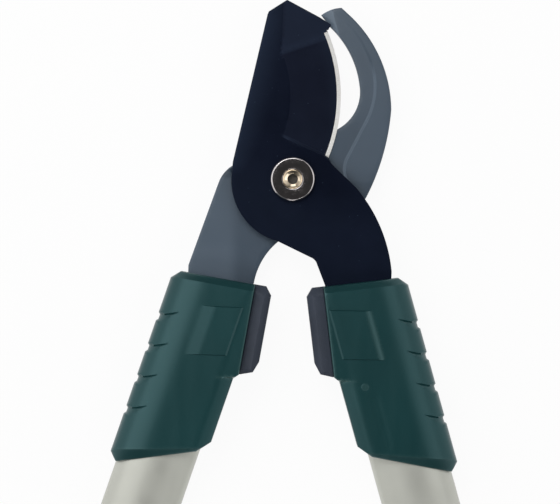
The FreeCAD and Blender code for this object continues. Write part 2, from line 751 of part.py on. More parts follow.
def bumper():
    """Rubber block with chamfered ends and sides; its face lies in the closed stop's plane."""
    face = BUMPER_GAP / 2
    long_side = BUMPER_LENGTH - BUMPER_START_CUT[0] - BUMPER_END_CUT[0]
    outline = trace(
        face_place(COLLAR_START, BUMPER_DEPTH),
        face_place(COLLAR_START, face + BUMPER_START_CUT[1]),
        face_place(COLLAR_START + BUMPER_START_CUT[0], face),
        face_place(BUMPER_END - BUMPER_END_CUT[0], face),
        face_place(BUMPER_END - BUMPER_END_SHOULDER[0], face + BUMPER_END_CUT[1]),
        face_place(BUMPER_END, face + BUMPER_END_SHOULDER[1]),
        face_place(BUMPER_END, BUMPER_DEPTH),
    )
    block = slab(outline, -BUMPER_HEIGHT / 2, BUMPER_HEIGHT / 2)
    long_edges = []
    for edge in block.Edges:
        if edge.BoundBox.ZLength < 0.01 and abs(edge.Length - long_side) < 0.01:
            long_edges.append(edge)
    block = block.makeChamfer(BUMPER_CHAMFER, long_edges)
    for peg in pegs(PEG_RADIUS, PEG_LENGTH):
        block = block.fuse(peg)
    return block


def grip_core_sizes():
    """Half the width and half the height of the grip's hard core."""
    wall = FIT_GAP + GRIP_CORE_WALL
    return (TUBE_HALF_WIDTH + wall, TUBE_HALF_HEIGHT + wall)


def grip_width(swell):
    """Half the grip's width over the soft sleeve, with a share of the swell."""
    return grip_core_sizes()[0] + FIT_GAP + GRIP_SLEEVE_WALL + swell * GRIP_SWELL


def grip_core():
    """Hard moulded tube over the handle's end, with a ring in front of the soft sleeve."""
    core = oval_bar(*grip_core_sizes(), GRIP_START, GRIP_END)
    guard = oval_bar(grip_width(0.2), REST_HALF_HEIGHT, GRIP_START, GRIP_START + GRIP_RING_LENGTH)
    rims = [edge for edge in guard.Edges if edge.BoundBox.YMin > -GRIP_START - 0.01]
    guard = guard.makeChamfer(GRIP_RING_CHAMFER, rims)
    half_width = TUBE_HALF_WIDTH + FIT_GAP
    half_height = TUBE_HALF_HEIGHT + FIT_GAP
    inside = oval_bar(half_width, half_height, GRIP_START - PAST, GRIP_END + PAST)
    return core.fuse(guard).cut(inside).removeSplitter()


def grip_sleeve():
    """Soft sleeve over the core, a little wider in the palm."""
    half_width, half_height = grip_core_sizes()
    start = GRIP_START + GRIP_RING_LENGTH + FIT_GAP
    length = GRIP_END - start
    wires = []
    for share, swell in ((0.0, 0.0), (0.25, 0.35), (0.6, 1.0), (0.85, 0.5), (1.0, 0.9)):
        outside_height = REST_HALF_HEIGHT - GRIP_SLEEVE_RELIEF
        wires.append(oval_wire(grip_width(swell), outside_height, start + share * length))
    outside = Part.makeLoft(wires, True, False)
    inside = oval_bar(half_width + FIT_GAP, half_height + FIT_GAP, start - PAST, GRIP_END + PAST)
    return outside.cut(inside)


def end_cap():
    """Cap over the tube's end, plugged into it, with a hole to hang the tool by."""
    start = GRIP_END + FIT_GAP
    end = start + CAP_LENGTH
    body = oval_bar(grip_width(0.9), REST_HALF_HEIGHT, start, end)
    rims = [edge for edge in body.Edges if edge.BoundBox.YMax < 0.01 - end]
    body = body.makeFillet(CAP_EDGE_RADIUS, rims)
    rims = [edge for edge in body.Edges if edge.BoundBox.YMin > -start - 0.01]
    body = body.makeChamfer(CAP_CHAMFER, rims)
    half_width = TUBE_HALF_WIDTH - TUBE_WALL - FIT_GAP
    half_height = TUBE_HALF_HEIGHT - TUBE_WALL - FIT_GAP
    plug_start = TUBE_END - CAP_PLUG_LENGTH
    plug = oval_bar(half_width, half_height, plug_start, start + PAST)
    hollow = oval_bar(half_width - CAP_PLUG_WALL, half_height - CAP_PLUG_WALL, plug_start - PAST, GRIP_END)
    hole_inset = CAP_EDGE_RADIUS + HANG_HOLE_MARGIN + HANG_HOLE_RADIUS
    hole = rod(HANG_HOLE_RADIUS, -TUBE_HEIGHT, TUBE_HEIGHT, HANDLE_OFFSET, hole_inset - end)
    return body.fuse(plug.cut(hollow)).cut(hole).removeSplitter()


def handle_pieces(side, to_side, tang_low, tang_high):
    """Every piece of one handle, placed on its side and named for it."""
    pieces = {
        "tang_insert": tang_insert(tang_low, tang_high),
        "handle_tube": handle_tube(),
        "handle_pins": handle_pins(),
        "collar": collar(tang_low, tang_high),
        "bumper": bumper(),
        "grip_core": grip_core(),
        "grip_sleeve": grip_sleeve(),
        "end_cap": end_cap(),
    }
    if side == "right":
        pieces["collar"] = pieces["collar"].fuse(gate_mark())
    return {side + "_" + name: to_side(shape) for name, shape in pieces.items()}


def all_pieces():
    pieces = {
        "cutting_blade": cutting_blade(),
        "hook_jaw": hook_jaw(),
        "pivot_barrel": pivot_barrel(),
        "pivot_screw": pivot_screw(),
        "front_disc": front_disc(),
        "bearing_washer": bearing_washer(),
        "rear_washer": rear_washer(),
        "spring_washer": spring_washer(),
    }
    pieces.update(handle_pieces("right", on_right, -TUBE_Z, BLADE_THICKNESS - TUBE_Z))
    pieces.update(handle_pieces("left", on_left, HOOK_BACK_Z - TUBE_Z, HOOK_FACE_Z - HOOK_STEP - TUBE_Z))
    return pieces


def bottom_centre(pieces):
    """Bottom centre of the box round all the pieces."""
    box = Part.makeCompound(list(pieces.values())).optimalBoundingBox(False, False)
    return point((box.XMin + box.XMax) / 2, (box.YMin + box.YMax) / 2, box.ZMin)


def main():
    os.makedirs("parts", exist_ok=True)
    pieces = all_pieces()
    origin = bottom_centre(pieces)
    for name, shape in pieces.items():
        shape.translate(origin * -1)
        shape.exportStep("parts/" + name + ".step")
        print(name, len(shape.Solids), round(shape.Volume, 1), shape.isValid())
    print("pivot axis at", origin * -1)


main()
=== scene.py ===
import json
import math
from itertools import groupby
from typing import NamedTuple

import bpy
import numpy as np
from bpy.props import FloatProperty, FloatVectorProperty, PointerProperty
from mathutils import Matrix, Vector
from mathutils.geometry import delaunay_2d_cdt


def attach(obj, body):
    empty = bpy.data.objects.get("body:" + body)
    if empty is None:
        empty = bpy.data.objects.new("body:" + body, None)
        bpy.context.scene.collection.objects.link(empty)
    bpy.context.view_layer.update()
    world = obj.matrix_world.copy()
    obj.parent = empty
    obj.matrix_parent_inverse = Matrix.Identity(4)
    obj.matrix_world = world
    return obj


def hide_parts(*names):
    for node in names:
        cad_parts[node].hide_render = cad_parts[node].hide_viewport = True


bl_info = {
    "name": "Bypass Lopper Dressing",
    "version": (1, 0, 0),
    "blender": (4, 5, 0),
    "location": "3D View > Sidebar > Loppers",
    "description": "Builds the finished look of a pair of bypass loppers over its packed solids",
    "category": "Object",
}

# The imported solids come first: every size and place below starts from them.
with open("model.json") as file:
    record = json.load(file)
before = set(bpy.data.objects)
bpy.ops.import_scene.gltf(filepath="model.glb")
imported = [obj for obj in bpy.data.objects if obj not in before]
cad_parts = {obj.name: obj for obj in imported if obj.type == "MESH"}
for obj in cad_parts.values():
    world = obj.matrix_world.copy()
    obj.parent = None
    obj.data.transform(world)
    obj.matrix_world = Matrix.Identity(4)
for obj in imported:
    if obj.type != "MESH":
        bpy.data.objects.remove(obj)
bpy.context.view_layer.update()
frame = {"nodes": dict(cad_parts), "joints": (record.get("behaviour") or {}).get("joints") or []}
PIVOT = Vector(frame["joints"][0]["pos_m"])
SIDES = (("left", "hook_side", -1), ("right", "blade_side", 1))

# Everything is drawn in millimetres. Jaws are drawn about the pivot, with z = 0 at the back face
# of the blade. Handles are drawn as (outwards, along, height) about the middle of their tube.
MM = 0.001
HALF_ANGLE = math.radians(17.3)
TUBE_Z = -1.2
HANDLE_OFFSET = 18.5
TUBE_HALF = (19.0, 11.0)
BORE_HALF = (19.1, 11.1)
FACE = 15.0


def linear(red, green, blue):
    """A colour given as it looks on a screen, 0 to 255, as the values that Blender works in."""
    shades = []
    for level in (red, green, blue):
        share = level / 255
        shades.append(share / 12.92 if share <= 0.04045 else ((share + 0.055) / 1.055) ** 2.4)
    return tuple(shades)


# ---------------------------------------------------------------- sizes and colours

def colour(name, description, *levels):
    return FloatVectorProperty(
        name=name, description=description, default=linear(*levels), subtype="COLOR", min=0.0, max=1.0
    )


def length(name, description, millimetres):
    return FloatProperty(
        name=name, description=description, default=millimetres * MM, min=0.0,
        unit="LENGTH", subtype="DISTANCE", precision=4,
    )


class LopperSizes(bpy.types.PropertyGroup):
    """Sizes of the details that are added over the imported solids"""

    blade_softening: length("Blade softening", "Radius on the edges of the painted blade", 0.35)
    hook_softening: length("Hook softening", "Radius on the edges of the hooked jaw", 0.7)
    ridge_width: length("Ridge width", "Width of the slope beside the hook's ridge", 1.1)
    collar_softening: length("Collar softening", "Radius on the edges of the moulded collars", 0.7)
    notch_depth: length("Notch depth", "Depth of the notches in a collar, at the outer side", 1.1)
    bumper_softening: length("Bumper softening", "Radius on the edges of the rubber bumpers", 0.6)
    rib_pitch: length("Rib pitch", "Distance between the ribs of a grip", 6.0)
    rib_depth: length("Rib depth", "Depth of the grooves between the ribs", 0.7)


class LopperColours(bpy.types.PropertyGroup):
    """Colours of the finishes"""

    blade: colour("Blade", "Dark coating on the cutting blade", 9, 12, 26)
    # Painted sheen: a second tone of the blade coating over the hollow grind, for how the sloped grind
    # takes the light.
    ground: colour("Hollow grind", "Coating over the blade's hollow grind", 19, 22, 35)
    # Painted light: the lighter blue laid over the blade's coating as sheen and highlights.
    rubbed: colour("Rubbed coating", "Blade coating where it is rubbed", 66, 80, 104)
    edge: colour("Cutting edge", "Ground steel of the edge", 254, 252, 246)
    hook: colour("Hook", "Grey coating on the hooked jaw", 58, 73, 88)
    # Painted light: the paler slate laid over the hook as highlights on its ridge's crest and tip facet,
    # and over the faces away from the blade, which leaves painted shade beside the blade.
    rubbed_hook: colour("Rubbed hook", "Hook coating where it is rubbed", 128, 145, 162)
    collar: colour("Collars", "Green moulded collars, rings and caps", 11, 51, 53)
    # Painted highlight: the paler green laid along the collars' rims and edges.
    rubbed_collar: colour("Rubbed collars", "Collar where its rims catch the light", 120, 152, 148)
    rubber: colour("Rubber", "Bumpers and grip sleeves", 57, 64, 77)
    tube: colour("Tubes", "Satin handle tubes", 203, 204, 195)
    chrome: colour("Pivot disc", "Polished disc over the pivot", 214, 208, 208)
    screw: colour("Pivot screw", "Screw in the middle of the pivot", 232, 215, 190)
    steel: colour("Plain steel", "Washers, pins and the pivot barrel", 150, 152, 155)
    nylon: colour("Inserts", "Inserts and the bearing washer", 205, 203, 194)
    floor: colour("Floor", "Floor under the tool", 250, 250, 250)


# ---------------------------------------------------------------- places

BUMPER_ANGLE = math.radians(8.8)


def jaw_place(x, y, z):
    """A place about the pivot, in metres."""
    return (PIVOT.x + x * MM, PIVOT.y + y * MM, PIVOT.z + z * MM)


def about_pivot(outwards, along):
    """A place on the right handle, drawn about the pivot."""
    x = outwards * math.cos(HALF_ANGLE) + along * math.sin(HALF_ANGLE)
    y = outwards * math.sin(HALF_ANGLE) - along * math.cos(HALF_ANGLE)
    return (x, y)


def handle_place(side):
    """Turns (outwards, along, height) on one handle into metres."""

    def place(outwards, along, height):
        x, y = about_pivot(outwards, along)
        return jaw_place(side * x, y, height + TUBE_Z)

    return place


def on_face(along_face, depth):
    """A place measured along the bumper's face and in from it, as (outwards, along)."""
    outwards = depth * math.cos(BUMPER_ANGLE) - along_face * math.sin(BUMPER_ANGLE)
    along = along_face * math.cos(BUMPER_ANGLE) + depth * math.sin(BUMPER_ANGLE)
    return (outwards, along)


def from_face(u, v):
    """Distance of a handle's place along the bumper's face, and its depth in from it."""
    along_face = v * math.cos(BUMPER_ANGLE) - u * math.sin(BUMPER_ANGLE)
    depth = u * math.cos(BUMPER_ANGLE) + v * math.sin(BUMPER_ANGLE)
    return along_face, depth


# ---------------------------------------------------------------- lines

FAR = 1e9


def arc_through(start, middle, end, step):
    """Points after the start on the arc through three places."""
    (ax, ay), (bx, by), (cx, cy) = start, middle, end
    d = 2 * (ax * (by - cy) + bx * (cy - ay) + cx * (ay - by))
    a2, b2, c2 = ax * ax + ay * ay, bx * bx + by * by, cx * cx + cy * cy
    ux = (a2 * (by - cy) + b2 * (cy - ay) + c2 * (ay - by)) / d
    uy = (a2 * (cx - bx) + b2 * (ax - cx) + c2 * (bx - ax)) / d
    radius = math.hypot(ax - ux, ay - uy)
    first = math.atan2(ay - uy, ax - ux)
    mid = (math.atan2(by - uy, bx - ux) - first) % (2 * math.pi)
    last = (math.atan2(cy - uy, cx - ux) - first) % (2 * math.pi)
    if mid > last:
        last -= 2 * math.pi
    count = max(3, math.ceil(abs(last) * radius / step))
    turns = [first + last * number / count for number in range(1, count + 1)]
    return [(ux + radius * math.cos(turn), uy + radius * math.sin(turn)) for turn in turns]


def line_to(start, end, step):
    """Points after the start on a straight line."""
    count = max(1, math.ceil(math.dist(start, end) / step))
    shares = [number / count for number in range(1, count + 1)]
    return [(start[0] + (end[0] - start[0]) * n, start[1] + (end[1] - start[1]) * n) for n in shares]


def straight(start, end, step=1.0):
    return [start] + line_to(start, end, step)


def traced(start, *steps, step=1.2, closed=True):
    """Outline or line from corners and arcs; a pair of places is (point on the arc, its end)."""
    places = [start]
    for move in steps + ((start,) if closed else ()):
        if isinstance(move[0], tuple):
            places += arc_through(places[-1], *move, step)
        else:
            places += line_to(places[-1], move, step)
    return places[:-1] if closed else places


def circle(radius, count, x=0.0, y=0.0):
    """Round hole, drawn the other way round from an outline."""
    turns = [-2 * math.pi * number / count for number in range(count)]
    return [(x + radius * math.cos(turn), y + radius * math.sin(turn)) for turn in turns]


def beside(line, distance):
    """A line moved to its left by a distance."""
    moved = []
    for number, (x, y) in enumerate(line):
        ax, ay = line[max(0, number - 1)]
        bx, by = line[min(len(line) - 1, number + 1)]
        way = Vector((ay - by, bx - ax)).normalized()
        moved.append((x + way.x * distance, y + way.y * distance))
    return moved


def counter_clockwise(loop):
    area = 0.0
    for (ax, ay), (bx, by) in zip(loop, loop[1:] + loop[:1]):
        area += ax * by - bx * ay
    return loop if area > 0 else loop[::-1]


def smooth_step(low, high, value):
    share = np.clip((value - low) / (high - low), 0.0, 1.0)
    return share * share * (3 - 2 * share)


def away_from_line(x, y, line):
    """Distance to a line of points, positive on its left."""
    x, y = np.atleast_1d(x).astype(float), np.atleast_1d(y).astype(float)
    best = np.full(x.shape, FAR)
    signed = np.full(x.shape, FAR)
    for (ax, ay), (bx, by) in zip(line, line[1:]):
        dx, dy = bx - ax, by - ay
        share = np.clip(((x - ax) * dx + (y - ay) * dy) / (dx * dx + dy * dy), 0, 1)
        px, py = x - ax - share * dx, y - ay - share * dy
        gap = np.hypot(px, py)
        nearer = gap < best - 1e-9
        best = np.where(nearer, gap, best)
        signed = np.where(nearer, np.where(dx * py - dy * px >= 0, gap, -gap), signed)
    return signed


# ---------------------------------------------------------------- meshes

# An inner loop's mitres, and how its reach shrinks where an edge would turn back on itself.
LEAST_MITRE = 0.55
FOLD_ROUNDS, FOLD_SHARE, FOLD_SHRINK = 12, 0.1, 0.8
# Gaps kept free about the lines of a filled face, and the rows of its grid.
LINE_GAP, GRID_GAP, ROW_PITCH = 0.12, 0.55, 0.866
# Triangles inside the outer loop only, and the distance at which corners are one.
FILL_INSIDE, FILL_NEAR = 1, 1e-5


def inside(points, loops):
    """Which points lie within the outline and outside its holes."""
    odd = np.zeros(len(points), bool)
    x, y = points[:, 0], points[:, 1]
    for loop in loops:
        for (ax, ay), (bx, by) in zip(loop, loop[1:] + loop[:1]):
            if ay != by:
                odd ^= ((ay > y) != (by > y)) & (x < (bx - ax) * (y - ay) / (by - ay) + ax)
    return odd


def clearance(points, paths):
    """Distance from each point to the nearest of many open lines."""
    return np.min([np.abs(away_from_line(*points.T, path)) for path in paths], axis=0)


def inner_loop(loop, distances):
    """The loop moved inwards by a distance at each of its points, less where it would fold over."""
    places = np.array(loop)
    ahead = np.roll(places, -1, axis=0) - places
    ahead_way = ahead / np.linalg.norm(ahead, axis=1)[:, None]
    normals = np.stack([-ahead_way[:, 1], ahead_way[:, 0]], axis=1)
    middle = normals + np.roll(normals, 1, axis=0)
    middle = middle / np.linalg.norm(middle, axis=1)[:, None]
    reach = np.array(distances, float) / np.maximum(LEAST_MITRE, (middle * normals).sum(1))
    for _ in range(FOLD_ROUNDS):
        moved = places + middle * reach[:, None]
        step = np.roll(moved, -1, axis=0) - moved
        folded = (step * ahead).sum(1) < FOLD_SHARE * (ahead * ahead).sum(1)
        if not folded.any():
            break
        reach[folded | np.roll(folded, 1)] *= FOLD_SHRINK
    return [tuple(place) for place in moved]


def filled(loops, lines, spacing):
    """Triangles between the loops, with corners along the lines and over a grid."""
    closed = [loop + loop[:1] for loop in loops]
    kept_lines = []
    for line in lines:
        places = np.array(line)
        fits = inside(places, loops) & (clearance(places, closed) > LINE_GAP)
        for fit, run in groupby(zip(fits, line), key=lambda pair: pair[0]):
            if fit:
                kept_lines.append([place for _, place in run])
    (x_low, y), (x_high, y_high) = np.min(loops[0], axis=0), np.max(loops[0], axis=0)
    grid = []
    row = 0
    while y < y_high:
        x = x_low + (row % 2) * spacing / 2
        while x < x_high:
            grid.append((x, y))
            x += spacing
        y += spacing * ROW_PITCH
        row += 1
    grid = np.array(grid)
    grid = grid[inside(grid, loops)]
    grid = grid[clearance(grid, closed + kept_lines) > spacing * GRID_GAP]
    corners, edges = [], []
    for number, path in enumerate(loops + kept_lines):
        first = len(corners)
        corners += path
        edges += [(first + n, first + n + 1) for n in range(len(path) - 1)]
        if number < len(loops):
            edges.append((len(corners) - 1, first))
    corners += map(tuple, grid)
    corners = [Vector(corner) for corner in corners]
    made, _, triangles, sources, _, _ = delaunay_2d_cdt(corners, edges, [], FILL_INSIDE, FILL_NEAR)
    places = np.array([tuple(place) for place in made])
    triangles = np.array([face for face in triangles if len(face) == 3])
    for hole in loops[1:]:
        triangles = triangles[~inside(places[triangles].mean(1), [hole])]
    at_input = {source: number for number, inputs in enumerate(sources) for source in inputs}
    return places, triangles, at_input


def bridged(lower, upper):
    """Four-sided faces between two rings of corner numbers."""
    return list(zip(lower, lower[1:] + lower[:1], upper[1:] + upper[:1], upper))


def relief(loops, front, back, softening, lines=(), back_lines=(), spacing=1.2, steps=4):
    """Plate with rounded edges whose front and back heights are functions of the place.

    softening gives, for a loop's points, the width and the height of the rounded edge.
    """
    loops = [counter_clockwise(loops[0])] + loops[1:]
    corners, faces, walls = [], [], []
    soft = [softening(np.array(loop)) for loop in loops]
    inner = [inner_loop(loop, widths) for loop, (widths, _) in zip(loops, soft)]
    for facing, surface, features in ((1, front, lines), (-1, back, back_lines)):
        places, triangles, at_input = filled(inner, features, spacing)
        base = len(corners)
        corners += zip(*places.T, surface(*places.T))
        faces += (base + triangles[:, ::facing]).tolist()
        first = 0
        rims = []
        for loop, moved, (_, drops) in zip(loops, inner, soft):
            outline, moved = np.array(loop), np.array(moved)
            rings = []
            for level in range(steps):
                turn = level / steps * math.pi / 2
                ring = outline + (moved - outline) * (1 - math.cos(turn))
                tops = surface(*ring.T) - facing * drops * (1 - math.sin(turn))
                rings.append(list(range(len(corners), len(corners) + len(loop))))
                corners += zip(*ring.T, tops)
            rings.append([base + at_input[first + number] for number in range(len(loop))])
            for lower, upper in zip(rings, rings[1:]):
                faces += [quad[::facing] for quad in bridged(lower, upper)]
            rims.append(rings[0])
            first += len(loop)
        walls.append(rims)
    for front_rim, back_rim in zip(*walls):
        faces += zip(front_rim, back_rim, back_rim[1:] + back_rim[:1], front_rim[1:] + front_rim[:1])
    return corners, faces


def level_at(height):
    """A surface at one height all over."""
    return lambda x, y: np.full_like(x, height)


def evenly(size):
    """The same rounding at every place of an edge."""
    return lambda points: (np.full(len(points), size), np.full(len(points), size))


def rub(piece, corners, amount):
    """Stores how much painted light falls on each corner of the front, from a function of its place."""
    layer = piece.data.attributes.new("rub", "FLOAT", "POINT")
    layer.data.foreach_set("value", amount(*np.array(corners).T).astype(np.float32))


def skinned(rings, closed):
    """Mesh over rings of corners, joined back to the first where closed; equal corners are one."""
    corners, numbers, named = [], {}, []
    for ring in rings:
        names = []
        for corner in ring:
            key = tuple(round(value, 5) for value in corner)
            if key not in numbers:
                numbers[key] = len(corners)
                corners.append(corner)
            names.append(numbers[key])
        named.append(names)
    faces = []
    for lower, upper in zip(named, named[1:] + named[:1] if closed else named[1:]):
        for quad in bridged(lower, upper):
            face = tuple(dict.fromkeys(quad))
            if len(face) > 2:
                faces.append(face)
    return corners, faces


def turned_ring(radius, height, count):
    """Corners of a ring about the z axis; the radius is a number or a function of the turn."""
    ring = []
    for number in range(count):
        turn = 2 * math.pi * number / count
        reach = radius(turn) if callable(radius) else radius
        ring.append((reach * math.cos(turn), reach * math.sin(turn), height))
    return ring


def lathed(profile, count):
    """Solid turned about the z axis from a closed outline of (radius, height)."""
    return skinned([turned_ring(radius, height, count) for radius, height in profile], True)


def lofted(stations, count, hollow=False):
    """Skin over ovals given as (along, half width, half height); a hollow one ends where it began."""
    rings = []
    for along, half_width, half_height in stations:
        ring = turned_ring(1.0, along, count)
        rings.append([(HANDLE_OFFSET + half_width * x, along, half_height * y) for x, y, _ in ring])
    corners, faces = skinned(rings, hollow)
    if not hollow:
        faces += [tuple(range(count))[::-1], tuple(range(len(corners) - count, len(corners)))]
    return corners, faces


def rounded(profile, radius, steps):
    """Closed outline with its corners rounded."""
    places = []
    for number, here in enumerate(profile):
        here = Vector(here)
        before = Vector(profile[number - 1]) - here
        after = Vector(profile[(number + 1) % len(profile)]) - here
        start = here + before.normalized() * radius
        end = here + after.normalized() * radius
        for level in range(steps + 1):
            share = level / steps
            places.append(tuple(start.lerp(here, share).lerp(here.lerp(end, share), share)))
    return places


def new_object(name, data):
    made = bpy.data.objects.new(name, data)
    bpy.context.scene.collection.objects.link(made)
    return made


def make_piece(name, corners, faces, place, sharp=32.0):
    """New object from a closed mesh drawn in millimetres; its faces are turned outwards."""
    mesh = bpy.data.meshes.new(name)
    places = [Vector(place(*corner)) for corner in corners]
    mesh.from_pydata(places, [], faces)
    if mesh.validate():
        raise RuntimeError(name + " has faults in its mesh")
    mesh.calc_loop_triangles()
    volume = 0.0
    for face in mesh.loop_triangles:
        a, b, c = (places[corner] - places[0] for corner in face.vertices)
        volume += a.dot(b.cross(c))
    if volume < 0:
        mesh.flip_normals()
    mesh.shade_smooth()
    mesh.set_sharp_from_angle(angle=math.radians(sharp))
    return new_object(name, mesh)


def cut_from(piece, cutter, sharp):
    """Takes the cutter's solid out of a piece and removes the cutter."""
    tool = piece.modifiers.new("cut", "BOOLEAN")
    tool.operation = "DIFFERENCE"
    tool.solver = "EXACT"
    tool.object = cutter
    graph = bpy.context.evaluated_depsgraph_get()
    cut = bpy.data.meshes.new_from_object(piece.evaluated_get(graph))
    if not cut.polygons:
        raise RuntimeError(piece.name + " was lost in a cut")
    piece.modifiers.clear()
    old, used = piece.data, cutter.data
    piece.data = cut
    cut.name = old.name
    bpy.data.objects.remove(cutter)
    for mesh in (old, used):
        bpy.data.meshes.remove(mesh)
    cut.shade_smooth()
    cut.set_sharp_from_angle(angle=math.radians(sharp))


# ---------------------------------------------------------------- finishes

# The colour sockets of a mix node.
MIX_UNDER, MIX_TOP, MIX_RESULT = 6, 7, 2


class Wiring:
    """The node tree of a material or a world, put together node by node."""

    def __init__(self, owner):
        owner.use_nodes = True
        self.nodes, self.links = owner.node_tree.nodes, owner.node_tree.links
        self.nodes.clear()

    def add(self, kind, values=(), **settings):
        """New node with the values of its entries, as pairs, and its settings."""
        node = self.nodes.new(kind)
        for key, value in settings.items():
            setattr(node, key, value)
        for entry, value in values:
            node.inputs[entry].default_value = value
        return node

    def join(self, source, output, target, entry):
        self.links.new(source.outputs[output], target.inputs[entry])

    def maths(self, operation, *entries):
        """Math node over numbers and pairs of a node and its output."""
        node = self.add("ShaderNodeMath", operation=operation)
        for number, entry in enumerate(entries):
            if isinstance(entry, tuple):
                self.join(*entry, node, number)
            else:
                node.inputs[number].default_value = entry
        return node

    def graded(self, source, low, high, start=0.0, end=1.0):
        """Map Range from low..high to start..end."""
        values = (("From Min", low), ("From Max", high), ("To Min", start), ("To Max", end))
        node = self.add("ShaderNodeMapRange", values)
        self.join(source, 0, node, "Value")
        return node


class Finish(Wiring):
    """One procedural material."""

    def __init__(self, name, values):
        self.material = bpy.data.materials.new(name)
        super().__init__(self.material)
        self.output = self.add("ShaderNodeOutputMaterial")
        self.shader = self.add("ShaderNodeBsdfPrincipled", values)
        self.join(self.shader, "BSDF", self.output, "Surface")
        self.where = self.add("ShaderNodeTexCoord")

    def noise(self, scale, detail, roughness, stretch=None):
        """Noise in patches per metre; stretch is a turn and a scale of the object's axes."""
        values = (("Scale", scale), ("Detail", detail), ("Roughness", roughness))
        node = self.add("ShaderNodeTexNoise", values)
        source, output = self.where, "Object"
        if stretch:
            turn, sizes = stretch
            values = (("Rotation", (0.0, 0.0, turn)), ("Scale", sizes))
            source, output = self.add("ShaderNodeMapping", values), "Vector"
            self.join(self.where, "Object", source, "Vector")
        self.join(source, output, node, "Vector")
        return node

    def spots(self, scale, size):
        """Sparse specks: 1 inside a speck and 0 outside."""
        cells = self.add("ShaderNodeTexVoronoi", [("Scale", scale)])
        self.join(self.where, "Object", cells, "Vector")
        return self.graded(cells, size, size * 0.5)

    def over(self, under, mask, top, output=0):
        """A colour laid by a mask over another colour, or over the result of such a mix."""
        node = self.add("ShaderNodeMix", [(MIX_TOP, (*top, 1.0))], data_type="RGBA")
        if isinstance(under, tuple):
            node.inputs[MIX_UNDER].default_value = (*under, 1.0)
        else:
            self.join(under, MIX_RESULT, node, MIX_UNDER)
        self.join(mask, output, node, 0)
        return node

    def set_colour(self, mix):
        self.join(mix, MIX_RESULT, self.shader, "Base Color")

    def raise_by(self, mask, millimetres):
        """Small relief from a mask."""
        node = self.add("ShaderNodeBump", (("Strength", 1.0), ("Distance", millimetres * MM)))
        self.join(mask, 0, node, "Height")
        self.join(node, "Normal", self.shader, "Normal")


# Where a noise counts as dark and as light.
NOISE_LOW, NOISE_HIGH = 0.3, 0.7


class Look(NamedTuple):
    """What tells one finish from another; a noise is patches per metre, detail, roughness, stretch."""

    shade: str
    tones: tuple
    cloud: tuple
    gloss: tuple
    roughness: tuple
    grain: tuple
    relief: float
    shader: tuple
    # name of the colour laid over the finish as painted light, by the mesh's painted light attribute
    rubbed: str = ""
    specks: tuple = ()
    cloud_start: float = NOISE_LOW
    gloss_end: float = NOISE_HIGH


# Dark baked coating: fine orange peel, faint mottling, a few pale specks, and a lighter blue laid over it
# as painted sheen and highlights.
BLADE_COATING = Look(
    shade="blade", tones=(0.85, 1.17), cloud=(38, 3, 0.55), cloud_start=0.32, rubbed="rubbed",
    specks=(260, 0.055, "hook", 1.1), gloss=(90, 4, 0.6), roughness=(0.32, 0.42),
    grain=(2600, 3, 0.6), relief=0.008,
    shader=(("Specular IOR Level", 0.1), ("Specular Tint", (0.45, 0.65, 1.0, 1.0))),
)
METAL = (("Metallic", 1.0),)
GRINDING_LINES = (900, 2, 0.5, (0.0, (0.25, 6.0, 1.0)))
FLOW_MARKS = (60, 3, 0.5, (0.3, (3.0, 0.4, 1.0)))

